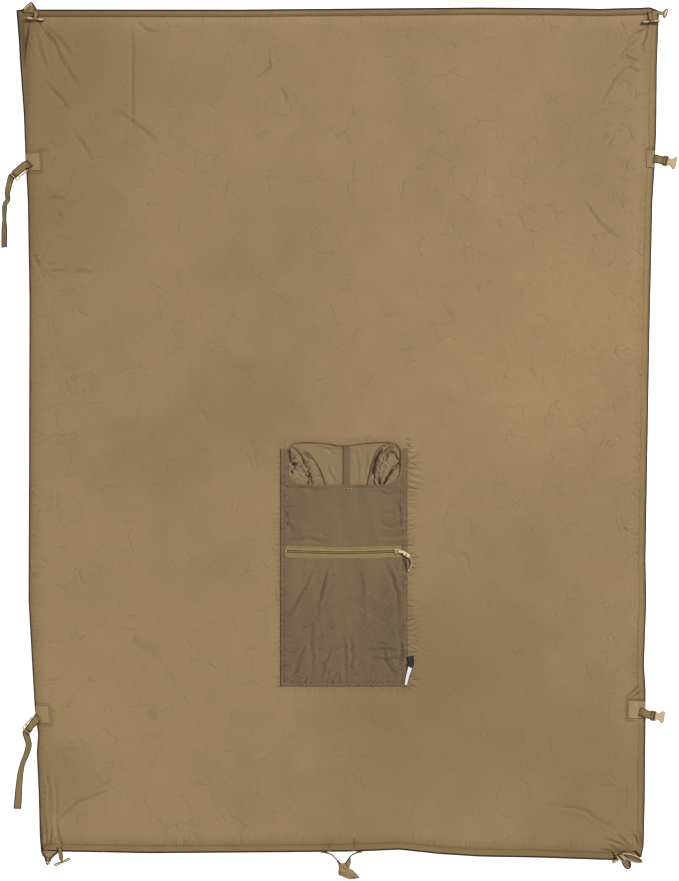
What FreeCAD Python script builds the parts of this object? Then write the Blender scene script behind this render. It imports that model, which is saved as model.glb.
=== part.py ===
import FreeCAD, Part
import math
import os

import Sketcher

# A layout field blind: a thin insulated blanket of tan cloth that lies face up on the ground.
# A pouch with a zip sits below its neck opening, where the hood is stowed. Four patches on the
# side edges hold webbing with side-release buckles, and each corner has a loop and a toggle.
# Origin: middle of the underside. +X to the right, +Y towards the top edge, +Z up. Millimetres.

SIZES = {
    # outline corners and layers of the blanket
    "top_left_x": -738, "top_left_y": 994,
    "top_right_x": 737, "top_right_y": 999,
    "bottom_left_x": -688, "bottom_left_y": -947,
    "bottom_right_x": 692, "bottom_right_y": -961,
    "shell": 0.8,
    "hem_width": 18,
    "hem_top": 3.2,
    "rim_width": 18,
    "face_top": 8,
    "edge_coil_inset": 3,
    "edge_coil_width": 3,
    "edge_coil_height": 1.2,
    # neck opening and the hood stowed in it
    "neck_left": -119, "neck_right": 141,
    "neck_shoulder": -3,
    "neck_dip": -11,
    "neck_floor_y": -104,
    "hood_cloth": 1,
    "hood_tape_x": 9,
    "hood_tape_width": 16,
    "hood_tape_height": 0.8,
    "gather_top": 7.4,
    "neck_binding_width": 3,
    # pouch and its zip
    "pouch_left": -137, "pouch_right": 156,
    "pouch_top": -19,
    "pouch_bottom": -566,
    "neckline": -102,
    "neckline_radius": 38,
    "panel": 1,
    "zip_y": -255,
    "zip_left": -125, "zip_right": 142,
    "tape_width": 11.7,
    "coil_width": 3.6,
    "coil_height": 2.2,
    "stop_length": 3,
    "stop_width": 5,
    "slider_length": 14,
    "slider_width": 9,
    "slider_x": 127.5,
    "running_gap": 0.3,
    "pull_thickness": 2,
    "pull_cord": 3,
    "pull_knot": 2.4,
    "pull_knot_length": 5,
    # sewn label
    "label_width": 13,
    "label_dark_length": 26,
    "label_light_length": 42,
    "label_thickness": 0.6,
    # patches, webbing and buckles
    "patch_length": 41,
    "patch_thickness": 1.2,
    "webbing": 1.4,
    "webbing_width": 19,
    "bar_radius": 2,
    "female_height": 7.6,
    "female_wall": 1.5,
    "male_bar_radius": 1.6,
    "male_bottom": 4.7,
    "tack": 0.8,
    # toggles and loops
    "toggle_length": 40,
    "toggle_radius": 3.5,
    "toggle_waist": 2.2,
    "toggle_tape": 1.2,
    "toggle_tape_width": 10,
    "loop_thickness": 1.8,
    "loop_cord": 2.6,
    "hang_loop_height": 2.6,
}

doc = FreeCAD.newDocument("LayoutFieldBlind")
sheet = doc.addObject("Spreadsheet::Sheet", "Sizes")
for row, (alias, number) in enumerate(SIZES.items(), start=1):
    sheet.set(f"A{row}", alias)
    sheet.set(f"B{row}", str(number))
    sheet.setAlias(f"B{row}", alias)
doc.recompute()

UP = FreeCAD.Vector(0, 0, 1)
ACROSS = FreeCAD.Vector(0, 1, 0)
nodes = []


def mm(alias):
    """The number in a cell of the sheet."""
    return float(sheet.get(alias))


def vector(x, y, z=0.0):
    return FreeCAD.Vector(x, y, z)


def turned(x, y, z=0.0, heading=0.0, rise=0.0):
    """A placement at a point, with local +X turned to a heading and lifted by a rise, in degrees."""
    heading_turn = FreeCAD.Rotation(UP, heading)
    return FreeCAD.Placement(vector(x, y, z), heading_turn * FreeCAD.Rotation(ACROSS, -rise))


def keep(piece):
    """Marks an object as a finished sub-part."""
    nodes.append(piece)
    return piece


# ---------------------------------------------------------------- ways of making a piece


def box(name, span_x, span_y, span_z, placement=None, **bound):
    """A Part::Box over three spans. Keywords bind Length, Width or Height to an expression."""
    piece = doc.addObject("Part::Box", name)
    piece.Length = span_x[1] - span_x[0]
    piece.Width = span_y[1] - span_y[0]
    piece.Height = span_z[1] - span_z[0]
    for side, expression in bound.items():
        piece.setExpression(side, expression)
    corner = FreeCAD.Placement(vector(span_x[0], span_y[0], span_z[0]), FreeCAD.Rotation())
    piece.Placement = placement.multiply(corner) if placement else corner
    return piece


def solid(name, shape, placement=None):
    """A Part::Feature for a shape that no primitive or sketch feature gives."""
    piece = doc.addObject("Part::Feature", name)
    piece.Shape = shape
    if placement:
        piece.Placement = placement
    return piece


def combined(kind, name, *parts):
    """A Part::Cut of two objects, or a Part::MultiFuse or Part::Compound of any number."""
    piece = doc.addObject(kind, name)
    if kind == "Part::Cut":
        piece.Base, piece.Tool = parts
    elif kind == "Part::MultiFuse":
        piece.Shapes = list(parts)
    else:
        piece.Links = list(parts)
    return piece


def closed_sketch(sketch, points):
    """Draws a closed polygon and joins its corners."""
    first = sketch.GeometryCount
    corners = [vector(x, y) for x, y in points]
    for start, end in zip(corners, corners[1:] + corners[:1]):
        sketch.addGeometry(Part.LineSegment(start, end), False)
    for side in range(len(corners)):
        following = (side + 1) % len(corners)
        joint = Sketcher.Constraint("Coincident", first + side, 2, first + following, 1)
        sketch.addConstraint(joint)


def body_sketch(body, name, role):
    """A sketch on one of the body's own origin planes."""
    plane = next(plane for plane in body.Origin.OriginFeatures if plane.Role == role)
    sketch = body.newObject("Sketcher::SketchObject", name)
    sketch.AttachmentSupport = [(plane, "")]
    sketch.MapMode = "FlatFace"
    return sketch


def padded(name, points, bottom, thickness, placement=None):
    """A PartDesign::Body padded up from a polygon. The thickness is an expression."""
    body = doc.addObject("PartDesign::Body", name)
    sketch = body_sketch(body, name + "_outline", "XY_Plane")
    closed_sketch(sketch, points)
    pad = body.newObject("PartDesign::Pad", name + "_pad")
    pad.Profile = sketch
    pad.setExpression("Length", thickness)
    lift = FreeCAD.Placement(vector(0, 0, bottom), FreeCAD.Rotation())
    body.Placement = placement.multiply(lift) if placement else lift
    return body


def prism(points, bottom, top):
    """An upright prism over a polygon, as a bare shape."""
    wire = Part.makePolygon([vector(x, y, bottom) for x, y in points + points[:1]])
    return Part.Face(wire).extrude(vector(0, 0, top - bottom))


def side_prism(points, width):
    """A prism over a polygon of (x, z) points, centred on the XZ plane."""
    wire = Part.makePolygon([vector(x, -width / 2, z) for x, z in points + points[:1]])
    return Part.Face(wire).extrude(vector(0, width, 0))


def rod(x, z, radius, width):
    """A cylinder along Y, centred on the XZ plane."""
    return Part.makeCylinder(radius, width, vector(x, -width / 2, z), ACROSS)


def arc(start, middle, end):
    return Part.Arc(vector(*start), vector(*middle), vector(*end)).toShape()


def line(start, end):
    return Part.makeLine(vector(*start), vector(*end))


def upright(edges, bottom, top):
    """An upright solid over a closed plan of lines and arcs."""
    face = Part.Face(Part.Wire(edges))
    face.translate(vector(0, 0, bottom))
    return face.extrude(vector(0, 0, top - bottom))


def ribbon(points, width):
    """The plan of a flat ribbon of one width along a chain of points, mitred at each point."""
    left, right = [], []
    for place, (x, y) in enumerate(points):
        before = points[max(place - 1, 0)]
        after = points[min(place + 1, len(points) - 1)]
        length = math.hypot(after[0] - before[0], after[1] - before[1])
        normal_x = -(after[1] - before[1]) / length
        normal_y = (after[0] - before[0]) / length
        left.append((x + normal_x * width / 2, y + normal_y * width / 2))
        right.append((x - normal_x * width / 2, y - normal_y * width / 2))
    return left + right[::-1]


def slot_ring(length, width, cord):
    """A flat ring with straight sides and round ends, along +X from the origin, as a bare shape."""

    def plan(inset):
        radius = width / 2 - inset
        near, far = width / 2, length - width / 2
        return Part.Face(Part.Wire([
            line((near, radius), (far, radius)),
            arc((far, radius), (far + radius, 0), (far, -radius)),
            line((far, -radius), (near, -radius)),
            arc((near, -radius), (near - radius, 0), (near, radius)),
        ]))

    return plan(0).cut(plan(cord)).extrude(vector(0, 0, mm("loop_thickness")))


# ---------------------------------------------------------------- the blanket's outline

CORNERS = [
    vector(mm("bottom_left_x"), mm("bottom_left_y")),
    vector(mm("bottom_right_x"), mm("bottom_right_y")),
    vector(mm("top_right_x"), mm("top_right_y")),
    vector(mm("top_left_x"), mm("top_left_y")),
]
EDGES = dict(zip(("bottom", "right", "top", "left"), zip(CORNERS, CORNERS[1:] + CORNERS[:1])))


def inset(distance):
    """The outline moved inwards by a distance, anticlockwise from the bottom left corner."""
    lines = []
    for start, end in EDGES.values():
        along = (end - start).normalize()
        lines.append((start + vector(-along.y, along.x) * distance, along))
    points = []
    for (start, along), (other, across) in zip(lines[-1:] + lines[:-1], lines):
        gap = other - start
        reach = (gap.x * across.y - gap.y * across.x) / (along.x * across.y - along.y * across.x)
        points.append(start + along * reach)
    return points


def flat(points):
    return [(point.x, point.y) for point in points]


def edge_frame(side, station):
    """A placement on an edge at a Y (side edges) or X (top, bottom): +X points out, +Y along it."""
    start, end = EDGES[side]
    along = end - start
    upright_edge = side in ("left", "right")
    share = (station - start.y) / along.y if upright_edge else (station - start.x) / along.x
    heading = math.degrees(math.atan2(-along.x, along.y))
    point = start + along * share
    return turned(point.x, point.y, 0, heading)


def surface(depth):
    """Height of the blanket's upper surface at a depth inwards from its edge."""
    rim = min(max((depth - mm("hem_width")) / mm("rim_width"), 0), 1)
    return mm("hem_top") + rim * (mm("face_top") - mm("hem_top"))


def puffed(extra):
    """The filled middle: upright at the hem seam, then sloping up to its flat top."""
    seam = mm("hem_width") + extra
    levels = [
        (seam, mm("shell")),
        (seam, mm("hem_top") - extra / 2),
        (seam + mm("rim_width"), mm("face_top") - extra),
    ]
    wires = []
    for depth, height in levels:
        corners = [point + vector(0, 0, height) for point in inset(depth)]
        wires.append(Part.makePolygon(corners + corners[:1]))
    return Part.makeLoft(wires, True, True)


# ---------------------------------------------------------------- blanket layers

NECK_PLAN = [
    (mm("neck_left"), mm("neck_shoulder")),
    (mm("neck_left"), mm("neck_floor_y")),
    (mm("neck_right"), mm("neck_floor_y")),
    (mm("neck_right"), mm("neck_shoulder")),
    ((mm("neck_left") + mm("neck_right")) / 2, mm("neck_dip")),
]


def blanket_layers():
    """Back cloth, insulation, and the face cloth over it, with the neck opening cut in both."""
    keep(padded("back_shell", flat(inset(0)), 0, "Sizes.shell"))
    neck = prism(NECK_PLAN, mm("shell"), mm("face_top") + 1)
    filling = puffed(mm("shell"))
    keep(solid("insulation_batt", filling.cut(neck)))
    keep(solid("face_shell", puffed(0).cut(filling).cut(neck)))


def hem_bindings():
    """The flat sewn border, one strip on each edge, mitred at the corners."""
    outer = flat(inset(0))
    inner = flat(inset(mm("hem_width")))
    for place, side in enumerate(EDGES):
        after = (place + 1) % 4
        plan = [outer[place], outer[after], inner[after], inner[place]]
        keep(padded("hem_" + side, plan, mm("shell"), "Sizes.hem_top - Sizes.shell"))


def edge_zip_coil():
    """The coil of the edge zip on the right hem, in three runs between the two patches."""
    runs = []
    patch_gap = mm("patch_length") / 2 + 1
    stops = [-930, RIGHT_PATCHES["lower"][0], RIGHT_PATCHES["upper"][0], 960]
    for place, (low, high) in enumerate(zip(stops, stops[1:])):
        low += patch_gap if place else 0
        high -= patch_gap if place < 2 else 0
        frame = edge_frame("right", (low + high) / 2)
        depth = -mm("edge_coil_inset")
        runs.append(box(
            f"edge_coil_run_{place + 1}",
            (depth - mm("edge_coil_width"), depth),
            ((low - high) / 2, (high - low) / 2),
            (mm("hem_top"), mm("hem_top") + mm("edge_coil_height")),
            frame,
            Width=f"{high - low}",
            Length="Sizes.edge_coil_width",
            Height="Sizes.edge_coil_height",
        ))
    keep(combined("Part::Compound", "edge_zip_coil", *runs))


# ---------------------------------------------------------------- hood and neck opening


def hood():
    """The hood's back panel at the bottom of the opening, its seam tape and two gathered sides."""
    play = mm("running_gap")
    floor = mm("shell")
    top = floor + mm("hood_cloth")
    left = mm("neck_left") + play
    right = mm("neck_right") - play
    low = mm("neck_floor_y") + play
    high = mm("neck_dip") - play
    keep(box("hood_back_panel", (left, right), (low, high), (floor, top),
             Height="Sizes.hood_cloth"))
    tape_x = mm("hood_tape_x")
    keep(box("hood_seam_tape", (tape_x, tape_x + mm("hood_tape_width")), (low, high),
             (top, top + mm("hood_tape_height")),
             Length="Sizes.hood_tape_width", Height="Sizes.hood_tape_height"))
    foot = low + 3
    left_gather = [
        line((left + 2, high - 8), (left + 22, high)),
        arc((left + 22, high), (left + 62, high - 25), (left + 82, foot)),
        line((left + 82, foot), (left + 40, foot)),
        arc((left + 40, foot), (left + 10, foot + 30), (left + 2, high - 8)),
    ]
    right_gather = [
        line((right - 2, high - 8), (right - 22, high)),
        arc((right - 22, high), (right - 47, high - 31), (right - 56, foot)),
        line((right - 56, foot), (right - 28, foot)),
        arc((right - 28, foot), (right - 6, foot + 32), (right - 2, high - 8)),
    ]
    keep(solid("hood_gather_left", upright(left_gather, top, mm("gather_top"))))
    keep(solid("hood_gather_right", upright(right_gather, top, mm("gather_top"))))


def neck_binding():
    """The bound upper edge of the opening, dipping in the middle."""
    middle = (mm("neck_left") + mm("neck_right")) / 2
    lower = [
        (mm("neck_left"), mm("neck_shoulder")),
        (middle, mm("neck_dip")),
        (mm("neck_right"), mm("neck_shoulder")),
    ]
    upper = [(x, y + mm("neck_binding_width")) for x, y in lower]
    keep(padded("neck_edge_binding", lower + upper[::-1], mm("face_top"), "Sizes.panel"))


# ---------------------------------------------------------------- pouch, zip and label


def pouch_panels():
    """Upper panel with the scooped neckline, and lower panel with an ear at each end of the zip."""
    left, right = mm("pouch_left"), mm("pouch_right")
    top, neckline, radius = mm("pouch_top"), mm("neckline"), mm("neckline_radius")
    scoop_left, scoop_right = mm("neck_left"), mm("neck_right")
    bottom = mm("zip_y") + mm("coil_width") / 2 + mm("tape_width")
    bend = radius * (1 - math.sqrt(0.5))
    plan = [
        line((left, top), (scoop_left, top)),
        line((scoop_left, top), (scoop_left, neckline + radius)),
        arc((scoop_left, neckline + radius), (scoop_left + bend, neckline + bend),
            (scoop_left + radius, neckline)),
        line((scoop_left + radius, neckline), (scoop_right - radius, neckline)),
        arc((scoop_right - radius, neckline), (scoop_right - bend, neckline + bend),
            (scoop_right, neckline + radius)),
        line((scoop_right, neckline + radius), (scoop_right, top)),
        line((scoop_right, top), (right, top)),
        line((right, top), (right, bottom)),
        line((right, bottom), (left, bottom)),
        line((left, bottom), (left, top)),
    ]
    deck = mm("face_top")
    keep(solid("pouch_upper_panel", upright(plan, deck, deck + mm("panel"))))
    lower_edge = mm("zip_y") - mm("coil_width") / 2 - mm("tape_width")
    lower_plan = [
        (left, bottom), (left, mm("pouch_bottom")), (right, mm("pouch_bottom")), (right, bottom),
        (mm("zip_right"), bottom), (mm("zip_right"), lower_edge),
        (mm("zip_left"), lower_edge), (mm("zip_left"), bottom),
    ]
    keep(padded("pouch_lower_panel", lower_plan, deck, "Sizes.panel"))


def pouch_zip():
    """Two tapes, the coil between them and a stop at each end."""
    deck, centre, half = mm("face_top"), mm("zip_y"), mm("coil_width") / 2
    span = (mm("zip_left"), mm("zip_right"))
    tapes = {
        "upper": (centre + half, centre + half + mm("tape_width")),
        "lower": (centre - half - mm("tape_width"), centre - half),
    }
    for name, across in tapes.items():
        keep(box(f"pouch_zip_tape_{name}", span, across, (deck, deck + mm("panel")),
                 Width="Sizes.tape_width", Height="Sizes.panel"))
    coil = (mm("zip_left") + mm("stop_length") + 1, mm("zip_right") - 1)
    keep(box("pouch_zip_coil", coil, (centre - half, centre + half),
             (deck, deck + mm("coil_height")),
             Width="Sizes.coil_width", Height="Sizes.coil_height"))
    stops = []
    for name, start in (("left", mm("zip_left") + 0.5), ("right", mm("zip_right") + 0.5)):
        stops.append(box(
            f"zip_stop_{name}", (start, start + mm("stop_length")),
            (centre - mm("stop_width") / 2, centre + mm("stop_width") / 2),
            (deck + mm("panel"), deck + mm("coil_height") + 0.4),
            Length="Sizes.stop_length", Width="Sizes.stop_width",
        ))
    trimmed = combined("Part::Cut", "zip_stop_left_trimmed", stops[0],
                       box("zip_stop_notch", (coil[0], coil[0] + 5), (centre - 9, centre + 9),
                           (deck, deck + 9)))
    keep(combined("Part::Compound", "pouch_zip_stops", trimmed, stops[1]))


PULL_PIVOT = vector(134.5, mm("zip_y"), mm("face_top") + 6.4)
PULL_TIP = vector(160.5, mm("zip_y") - 11, mm("face_top") + 3.8)
LUG_INNER = 2.6
LUG_OUTER = 3.8
PIN_RADIUS = 0.8
EYE_RADIUS = 2.0


def zip_slider():
    """The slider's upper wing: flanges beside the coil, a top plate, and lugs with the pull's pin."""
    gap = mm("running_gap")
    start, length, width = mm("slider_x"), mm("slider_length"), mm("slider_width")
    low = mm("face_top") + mm("panel") + gap
    channel_top = mm("face_top") + mm("coil_height") + gap
    top = PULL_PIVOT.z - EYE_RADIUS - gap
    centre = mm("zip_y")
    block = box("slider_block", (start, start + length), (centre - width / 2, centre + width / 2),
                (low, top), Length="Sizes.slider_length", Width="Sizes.slider_width")
    channel_half = mm("coil_width") / 2 + gap
    channel = box("slider_channel", (start - 1, start + length + 1),
                  (centre - channel_half, centre + channel_half), (low - 1, channel_top))
    wing = combined("Part::Cut", "slider_wing", block, channel)
    lugs = []
    for name, near, far in (("near", -LUG_OUTER, -LUG_INNER), ("far", LUG_INNER, LUG_OUTER)):
        lugs.append(box(f"slider_lug_{name}", (PULL_PIVOT.x - 2, PULL_PIVOT.x + 2),
                        (centre + near, centre + far), (top - 0.2, PULL_PIVOT.z + 1.8)))
    pin = doc.addObject("Part::Cylinder", "slider_pin")
    pin.Radius = PIN_RADIUS
    pin.Height = 2 * LUG_OUTER
    pin.Placement = FreeCAD.Placement(PULL_PIVOT + vector(0, LUG_OUTER, 0),
                                      FreeCAD.Rotation(vector(1, 0, 0), 90))
    keep(combined("Part::MultiFuse", "zip_slider", wing, *lugs, pin))


def zip_pull():
    """The moulded pull: an eye round the pin and a blade with two holes, angled off to one side."""
    gap = mm("running_gap")
    half = LUG_INNER - gap
    eye = rod(0, 0, EYE_RADIUS, 2 * half)
    tip = PULL_TIP - PULL_PIVOT
    neck_end = 7.0
    blade_plan = [
        (0.5, half), (neck_end, half), (neck_end + 3, 3.0), (tip.x + 1.6, tip.y + 4.4),
        (tip.x + 4.0, tip.y - 0.2), (tip.x - 1.4, tip.y - 4.6), (neck_end - 0.5, -half - 1.2),
        (3.0, -half), (0.5, -half),
    ]
    thickness = mm("pull_thickness")
    blade = prism(blade_plan, -thickness / 2, thickness / 2)
    for share in (0.42, 0.72):
        middle = vector(tip.x * share, tip.y * share - 0.4, -thickness)
        blade = blade.cut(Part.makeCylinder(1.5, 2 * thickness, middle, UP))
    fall = math.degrees(math.atan2(-tip.z, tip.x))
    blade.rotate(vector(0, 0, 0), ACROSS, fall)
    hole = rod(0, 0, PIN_RADIUS + gap, 4 * half)
    shape = eye.fuse(blade).cut(hole).removeSplitter()
    keep(solid("zip_pull_tab", shape, FreeCAD.Placement(PULL_PIVOT, FreeCAD.Rotation())))


CORD_ROUTE = [
    vector(160.5, -266.0, 11.8),
    vector(166.0, -275.5, 11.8),
    vector(166.0, -286.5, 11.8),
    vector(160.5, -296.0, 11.8),
]


def cord_path(points):
    """Straight runs joined by tangent arcs, each as large as its two runs allow."""
    edges = []
    start = points[0]
    for before, corner, after in zip(points, points[1:], points[2:]):
        arriving = (corner - before).normalize()
        leaving = (after - corner).normalize()
        turn = arriving.getAngle(leaving)
        cutback = 0.45 * min(before.distanceToPoint(corner), corner.distanceToPoint(after))
        radius = cutback / math.tan(turn / 2)
        print(f"cord bend radius {radius:.1f} mm")
        enter = corner - arriving * cutback
        leave = corner + leaving * cutback
        centre_way = (leaving - arriving).normalize()
        apex_gap = radius / math.cos(turn / 2) - radius
        edges.append(Part.makeLine(start, enter))
        edges.append(Part.Arc(enter, corner + centre_way * apex_gap, leave).toShape())
        start = leave
    edges.append(Part.makeLine(start, points[-1]))
    return Part.Wire(edges)


def pull_cord():
    """The cord knotted through the pull, lying to one side of the zip."""
    path = cord_path(CORD_ROUTE)
    first_way = (CORD_ROUTE[1] - CORD_ROUTE[0]).normalize()
    section = Part.Wire(Part.makeCircle(mm("pull_cord") / 2, CORD_ROUTE[0], first_way))
    tube = path.makePipeShell([section], True, False)
    print(f"cord length {path.Length:.1f} mm, volume {tube.Volume:.1f} mm3")
    keep(solid("zip_pull_cord", tube))
    last_way = (CORD_ROUTE[-1] - CORD_ROUTE[-2]).normalize()
    knot = Part.makeCylinder(mm("pull_knot"), mm("pull_knot_length"), CORD_ROUTE[-1], last_way)
    knot = knot.makeFillet(mm("pull_knot") / 2, [knot.Edges[0], knot.Edges[2]])
    keep(solid("zip_pull_knot", knot))


def label():
    """A blank folded label in the pouch's side seam, dark above and light below."""
    frame = turned(153, -564, mm("face_top") + mm("panel"), 84)
    across = (-mm("label_width") / 2, mm("label_width") / 2)
    thickness = (0, mm("label_thickness"))
    fold = mm("label_light_length")
    spans = {"light": (0, fold), "dark": (fold, fold + mm("label_dark_length"))}
    for shade, span in spans.items():
        keep(box(f"label_{shade}", span, across, thickness, frame,
                 Length=f"Sizes.label_{shade}_length", Width="Sizes.label_width",
                 Height="Sizes.label_thickness"))


# ---------------------------------------------------------------- patches and webbing

# station along the edge, and how far the patch reaches in from the edge
RIGHT_PATCHES = {"upper": (648.5, 20), "lower": (-620.5, 42)}
LEFT_PATCHES = {"upper": (641, 34), "lower": (-631.5, 32)}
PATCH_SETBACK = 2


def patches():
    """A sewn reinforcement over the hem and the slope behind it, at each strap."""
    thickness = mm("patch_thickness")
    rim_end = mm("hem_width") + mm("rim_width")
    for side, group in (("right", RIGHT_PATCHES), ("left", LEFT_PATCHES)):
        for level, (station, reach) in group.items():
            depths = [PATCH_SETBACK, mm("hem_width")]
            depths += [rim_end] if reach > rim_end else []
            depths += [reach]
            lower = [(-depth, surface(depth)) for depth in depths]
            upper = [(x, z + thickness) for x, z in lower]
            shape = side_prism(lower + upper[::-1], mm("patch_length"))
            keep(solid(f"patch_{side}_{level}", shape, edge_frame(side, station)))


# where each female buckle's bar is, and the way its mouth points
FEMALE_FRAMES = {
    "upper": turned(748.5, 644.5, 0, -12.7),
    "lower": turned(720.5, -633.5, 0, -9.5),
}
FEMALE_BAR_Z = 4.3
FEMALE_REACH = 28


def webbing_loops():
    """Doubled webbing from each right patch, ending in a loop round the buckle's bar."""
    thick = 2 * mm("webbing")
    on_patch = mm("hem_top") + mm("patch_thickness")
    inner = mm("bar_radius") + mm("running_gap")
    outer = inner + mm("webbing")
    lower = FEMALE_BAR_Z - thick / 2
    for level, frame in FEMALE_FRAMES.items():
        start = {"upper": -31, "lower": -30}[level]
        band = side_prism([
            (start, on_patch), (-17, on_patch), (-8, lower), (-inner, lower),
            (-inner, lower + thick), (-8, lower + thick), (-17, on_patch + thick),
            (start, on_patch + thick),
        ], mm("webbing_width"))
        ring = rod(0, FEMALE_BAR_Z, outer, mm("webbing_width"))
        hole = rod(0, FEMALE_BAR_Z, inner, 2 * mm("webbing_width"))
        shape = band.fuse(ring).cut(hole).removeSplitter()
        keep(solid(f"webbing_loop_right_{level}", shape, frame))


def female_buckles():
    """Female halves: a bar between two rails, and an hourglass socket that is open at its waist."""
    bottom = FEMALE_BAR_Z - mm("female_height") / 2
    top = bottom + mm("female_height")
    rail_in, rail_out = mm("webbing_width") / 2 + 0.5, 12
    waist, mouth = 7.5, 14
    body_start = 6
    outline = [
        (-3, -rail_out), (body_start + 1, -rail_out), (11, -waist), (16, -waist),
        (22, -mouth), (FEMALE_REACH, -mouth),
    ]
    outline += [(x, -y) for x, y in reversed(outline)]
    slot = prism([(-4, -rail_in), (body_start, -rail_in), (body_start, rail_in), (-4, rail_in)],
                 bottom - 1, top + 1)
    wall = mm("female_wall")
    cavity = prism([(9, -11), (FEMALE_REACH + 1, -11), (FEMALE_REACH + 1, 11), (9, 11)],
                   bottom + wall, top - wall)
    bar = rod(0, FEMALE_BAR_Z, mm("bar_radius"), 2 * rail_out)
    block = prism(outline, bottom, top).cut(slot).cut(cavity)
    upright_edges = [edge for edge in block.Edges
                     if abs(edge.Length - mm("female_height")) < 0.01
                     and abs(edge.Vertexes[0].X - FEMALE_REACH) < 0.01]
    block = block.makeFillet(2.5, upright_edges)
    for level, frame in FEMALE_FRAMES.items():
        shape = block.fuse(bar).removeSplitter()
        keep(solid(f"female_buckle_{level}", shape, frame))


# where each male adjuster's end bar is, and the way the strap leaves the blanket
MALE_FRAMES = {
    "upper": turned(-750, 607, 0, 220.3),
    "lower": turned(-722, -668, 0, 230.7),
}
TAILS = {
    "upper": ([(-754, 603), (-762, 591), (-766, 565), (-766, 547), (-773, 533),
               (-775, 496), (-775, 444)], 12),
    "lower": ([(-727, -674), (-720, -688), (-716, -703), (-722, -725), (-731, -748),
               (-737, -783), (-742, -849)], 19),
}


def left_straps():
    """Straps over the male halves, threaded through their bars, with tails on the ground."""
    thick = mm("webbing")
    on_patch = mm("hem_top") + mm("patch_thickness")
    frame_bottom = mm("male_bottom")
    frame_top = frame_bottom + 2 * mm("male_bar_radius")
    over = frame_top + mm("running_gap")
    under = frame_bottom - mm("running_gap") - thick
    for level, frame in MALE_FRAMES.items():
        start = {"upper": -43.5, "lower": -45}[level]
        lower = [(start, on_patch), (-39.5, on_patch), (-35, over), (-6.6, over), (-3.4, under),
                 (4, under), (9, 0.2), (12, 0.2)]
        upper = [(start, on_patch + thick), (-40.5, on_patch + thick), (-36, over + thick),
                 (-5.4, over + thick), (-2.4, under + thick), (4.8, under + thick),
                 (9.8, 0.2 + thick), (12, 0.2 + thick)]
        band = side_prism(lower + upper[::-1], mm("webbing_width"))
        band.Placement = frame
        points, width = TAILS[level]
        tail = prism(ribbon(points, width), 0.2, 0.2 + thick)
        keep(solid(f"strap_left_{level}", band.fuse(tail).removeSplitter()))


GUIDE_LENGTH = 21
PRONG_OFFSET = 8.6
PRONG_ROOT_X = -14.2


def male_frames():
    """Male adjuster halves: two bars between rails, with a centre guide."""
    radius = mm("male_bar_radius")
    low = mm("male_bottom")
    high = low + 2 * radius
    rail_in, rail_out = mm("webbing_width") / 2 + 0.4, 11.9
    plate = prism([(-12, -rail_out), (2, -rail_out), (2, rail_out), (-12, rail_out)], low, high)
    slot = prism([(-8, -rail_in), (3, -rail_in), (3, rail_in), (-8, rail_in)], low - 1, high + 1)
    end_bar = rod(0, low + radius, radius, 2 * rail_out)
    guide = prism([(-12 - GUIDE_LENGTH, -1), (-11, -2), (-11, 2), (-12 - GUIDE_LENGTH, 1)],
                  low + 0.6, high - 0.6)
    shape = plate.cut(slot).fuse([end_bar, guide]).removeSplitter()
    for level, frame in MALE_FRAMES.items():
        keep(solid(f"male_frame_{level}", shape, frame))


def male_prongs():
    """The two sprung prongs of each male half, free to bend inwards at their roots."""
    low = mm("male_bottom")
    high = low + 2 * mm("male_bar_radius")
    for level, frame in MALE_FRAMES.items():
        for name, hand in (("front", 1), ("rear", -1)):
            plan = [
                (PRONG_ROOT_X, 1.6), (-28, 1.6), (-30, 3.2), (-35, 0.6), (-35, -1.2),
                (-28, -1.4), (PRONG_ROOT_X, -1.4),
            ]
            points = [(x, PRONG_OFFSET * hand + y * hand) for x, y in plan]
            arm = prism(points, low, high)
            root = Part.makeCylinder(1.6, high - low,
                                     vector(PRONG_ROOT_X, PRONG_OFFSET * hand, low))
            shape = arm.fuse(root).removeSplitter()
            keep(solid(f"male_prong_{level}_{name}", shape, frame))


# ---------------------------------------------------------------- toggles and loops

# corner: (toggle's middle x, y, z), heading of the tape, length of the tape
TOGGLES = {
    "top_left": ((-700, 970, 9.4), -96, 16),
    "top_right": ((717, 964, 12), -84.5, 22),
    "bottom_left": ((-639, -971, 3.8), -67, 30),
    "bottom_right": ((644.5, -961, 7.2), -55, 16),
}
ROOT_RADIUS = 0.9


def toggle_frame(corner):
    """A placement at the sewn end of a toggle's tape, with +X along the tape to the toggle."""
    (x, y, z), heading, length = TOGGLES[corner]
    root_z = mm("hem_top") + mm("running_gap") + ROOT_RADIUS
    rise = math.asin((z - root_z) / length)
    plan_length = length * math.cos(rise)
    way = math.radians(heading)
    root = vector(x - plan_length * math.cos(way), y - plan_length * math.sin(way), root_z)
    return turned(root.x, root.y, root.z, heading, math.degrees(rise))


def toggle_tapes():
    """Tapes sewn to the hem, each with a loop that holds its toggle by the waist."""
    width = mm("toggle_tape_width")
    inner = mm("toggle_waist") + mm("running_gap")
    outer = inner + mm("toggle_tape")
    half = mm("toggle_tape") / 2
    for corner, (_, _, length) in TOGGLES.items():
        band = side_prism([(0, -half), (length - inner, -half), (length - inner, half), (0, half)],
                          width)
        shape = band.fuse([rod(0, 0, ROOT_RADIUS, width), rod(length, 0, outer, width)])
        shape = shape.cut(rod(length, 0, inner, 2 * width)).removeSplitter()
        keep(solid(f"toggle_tape_{corner}", shape, toggle_frame(corner)))


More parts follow.
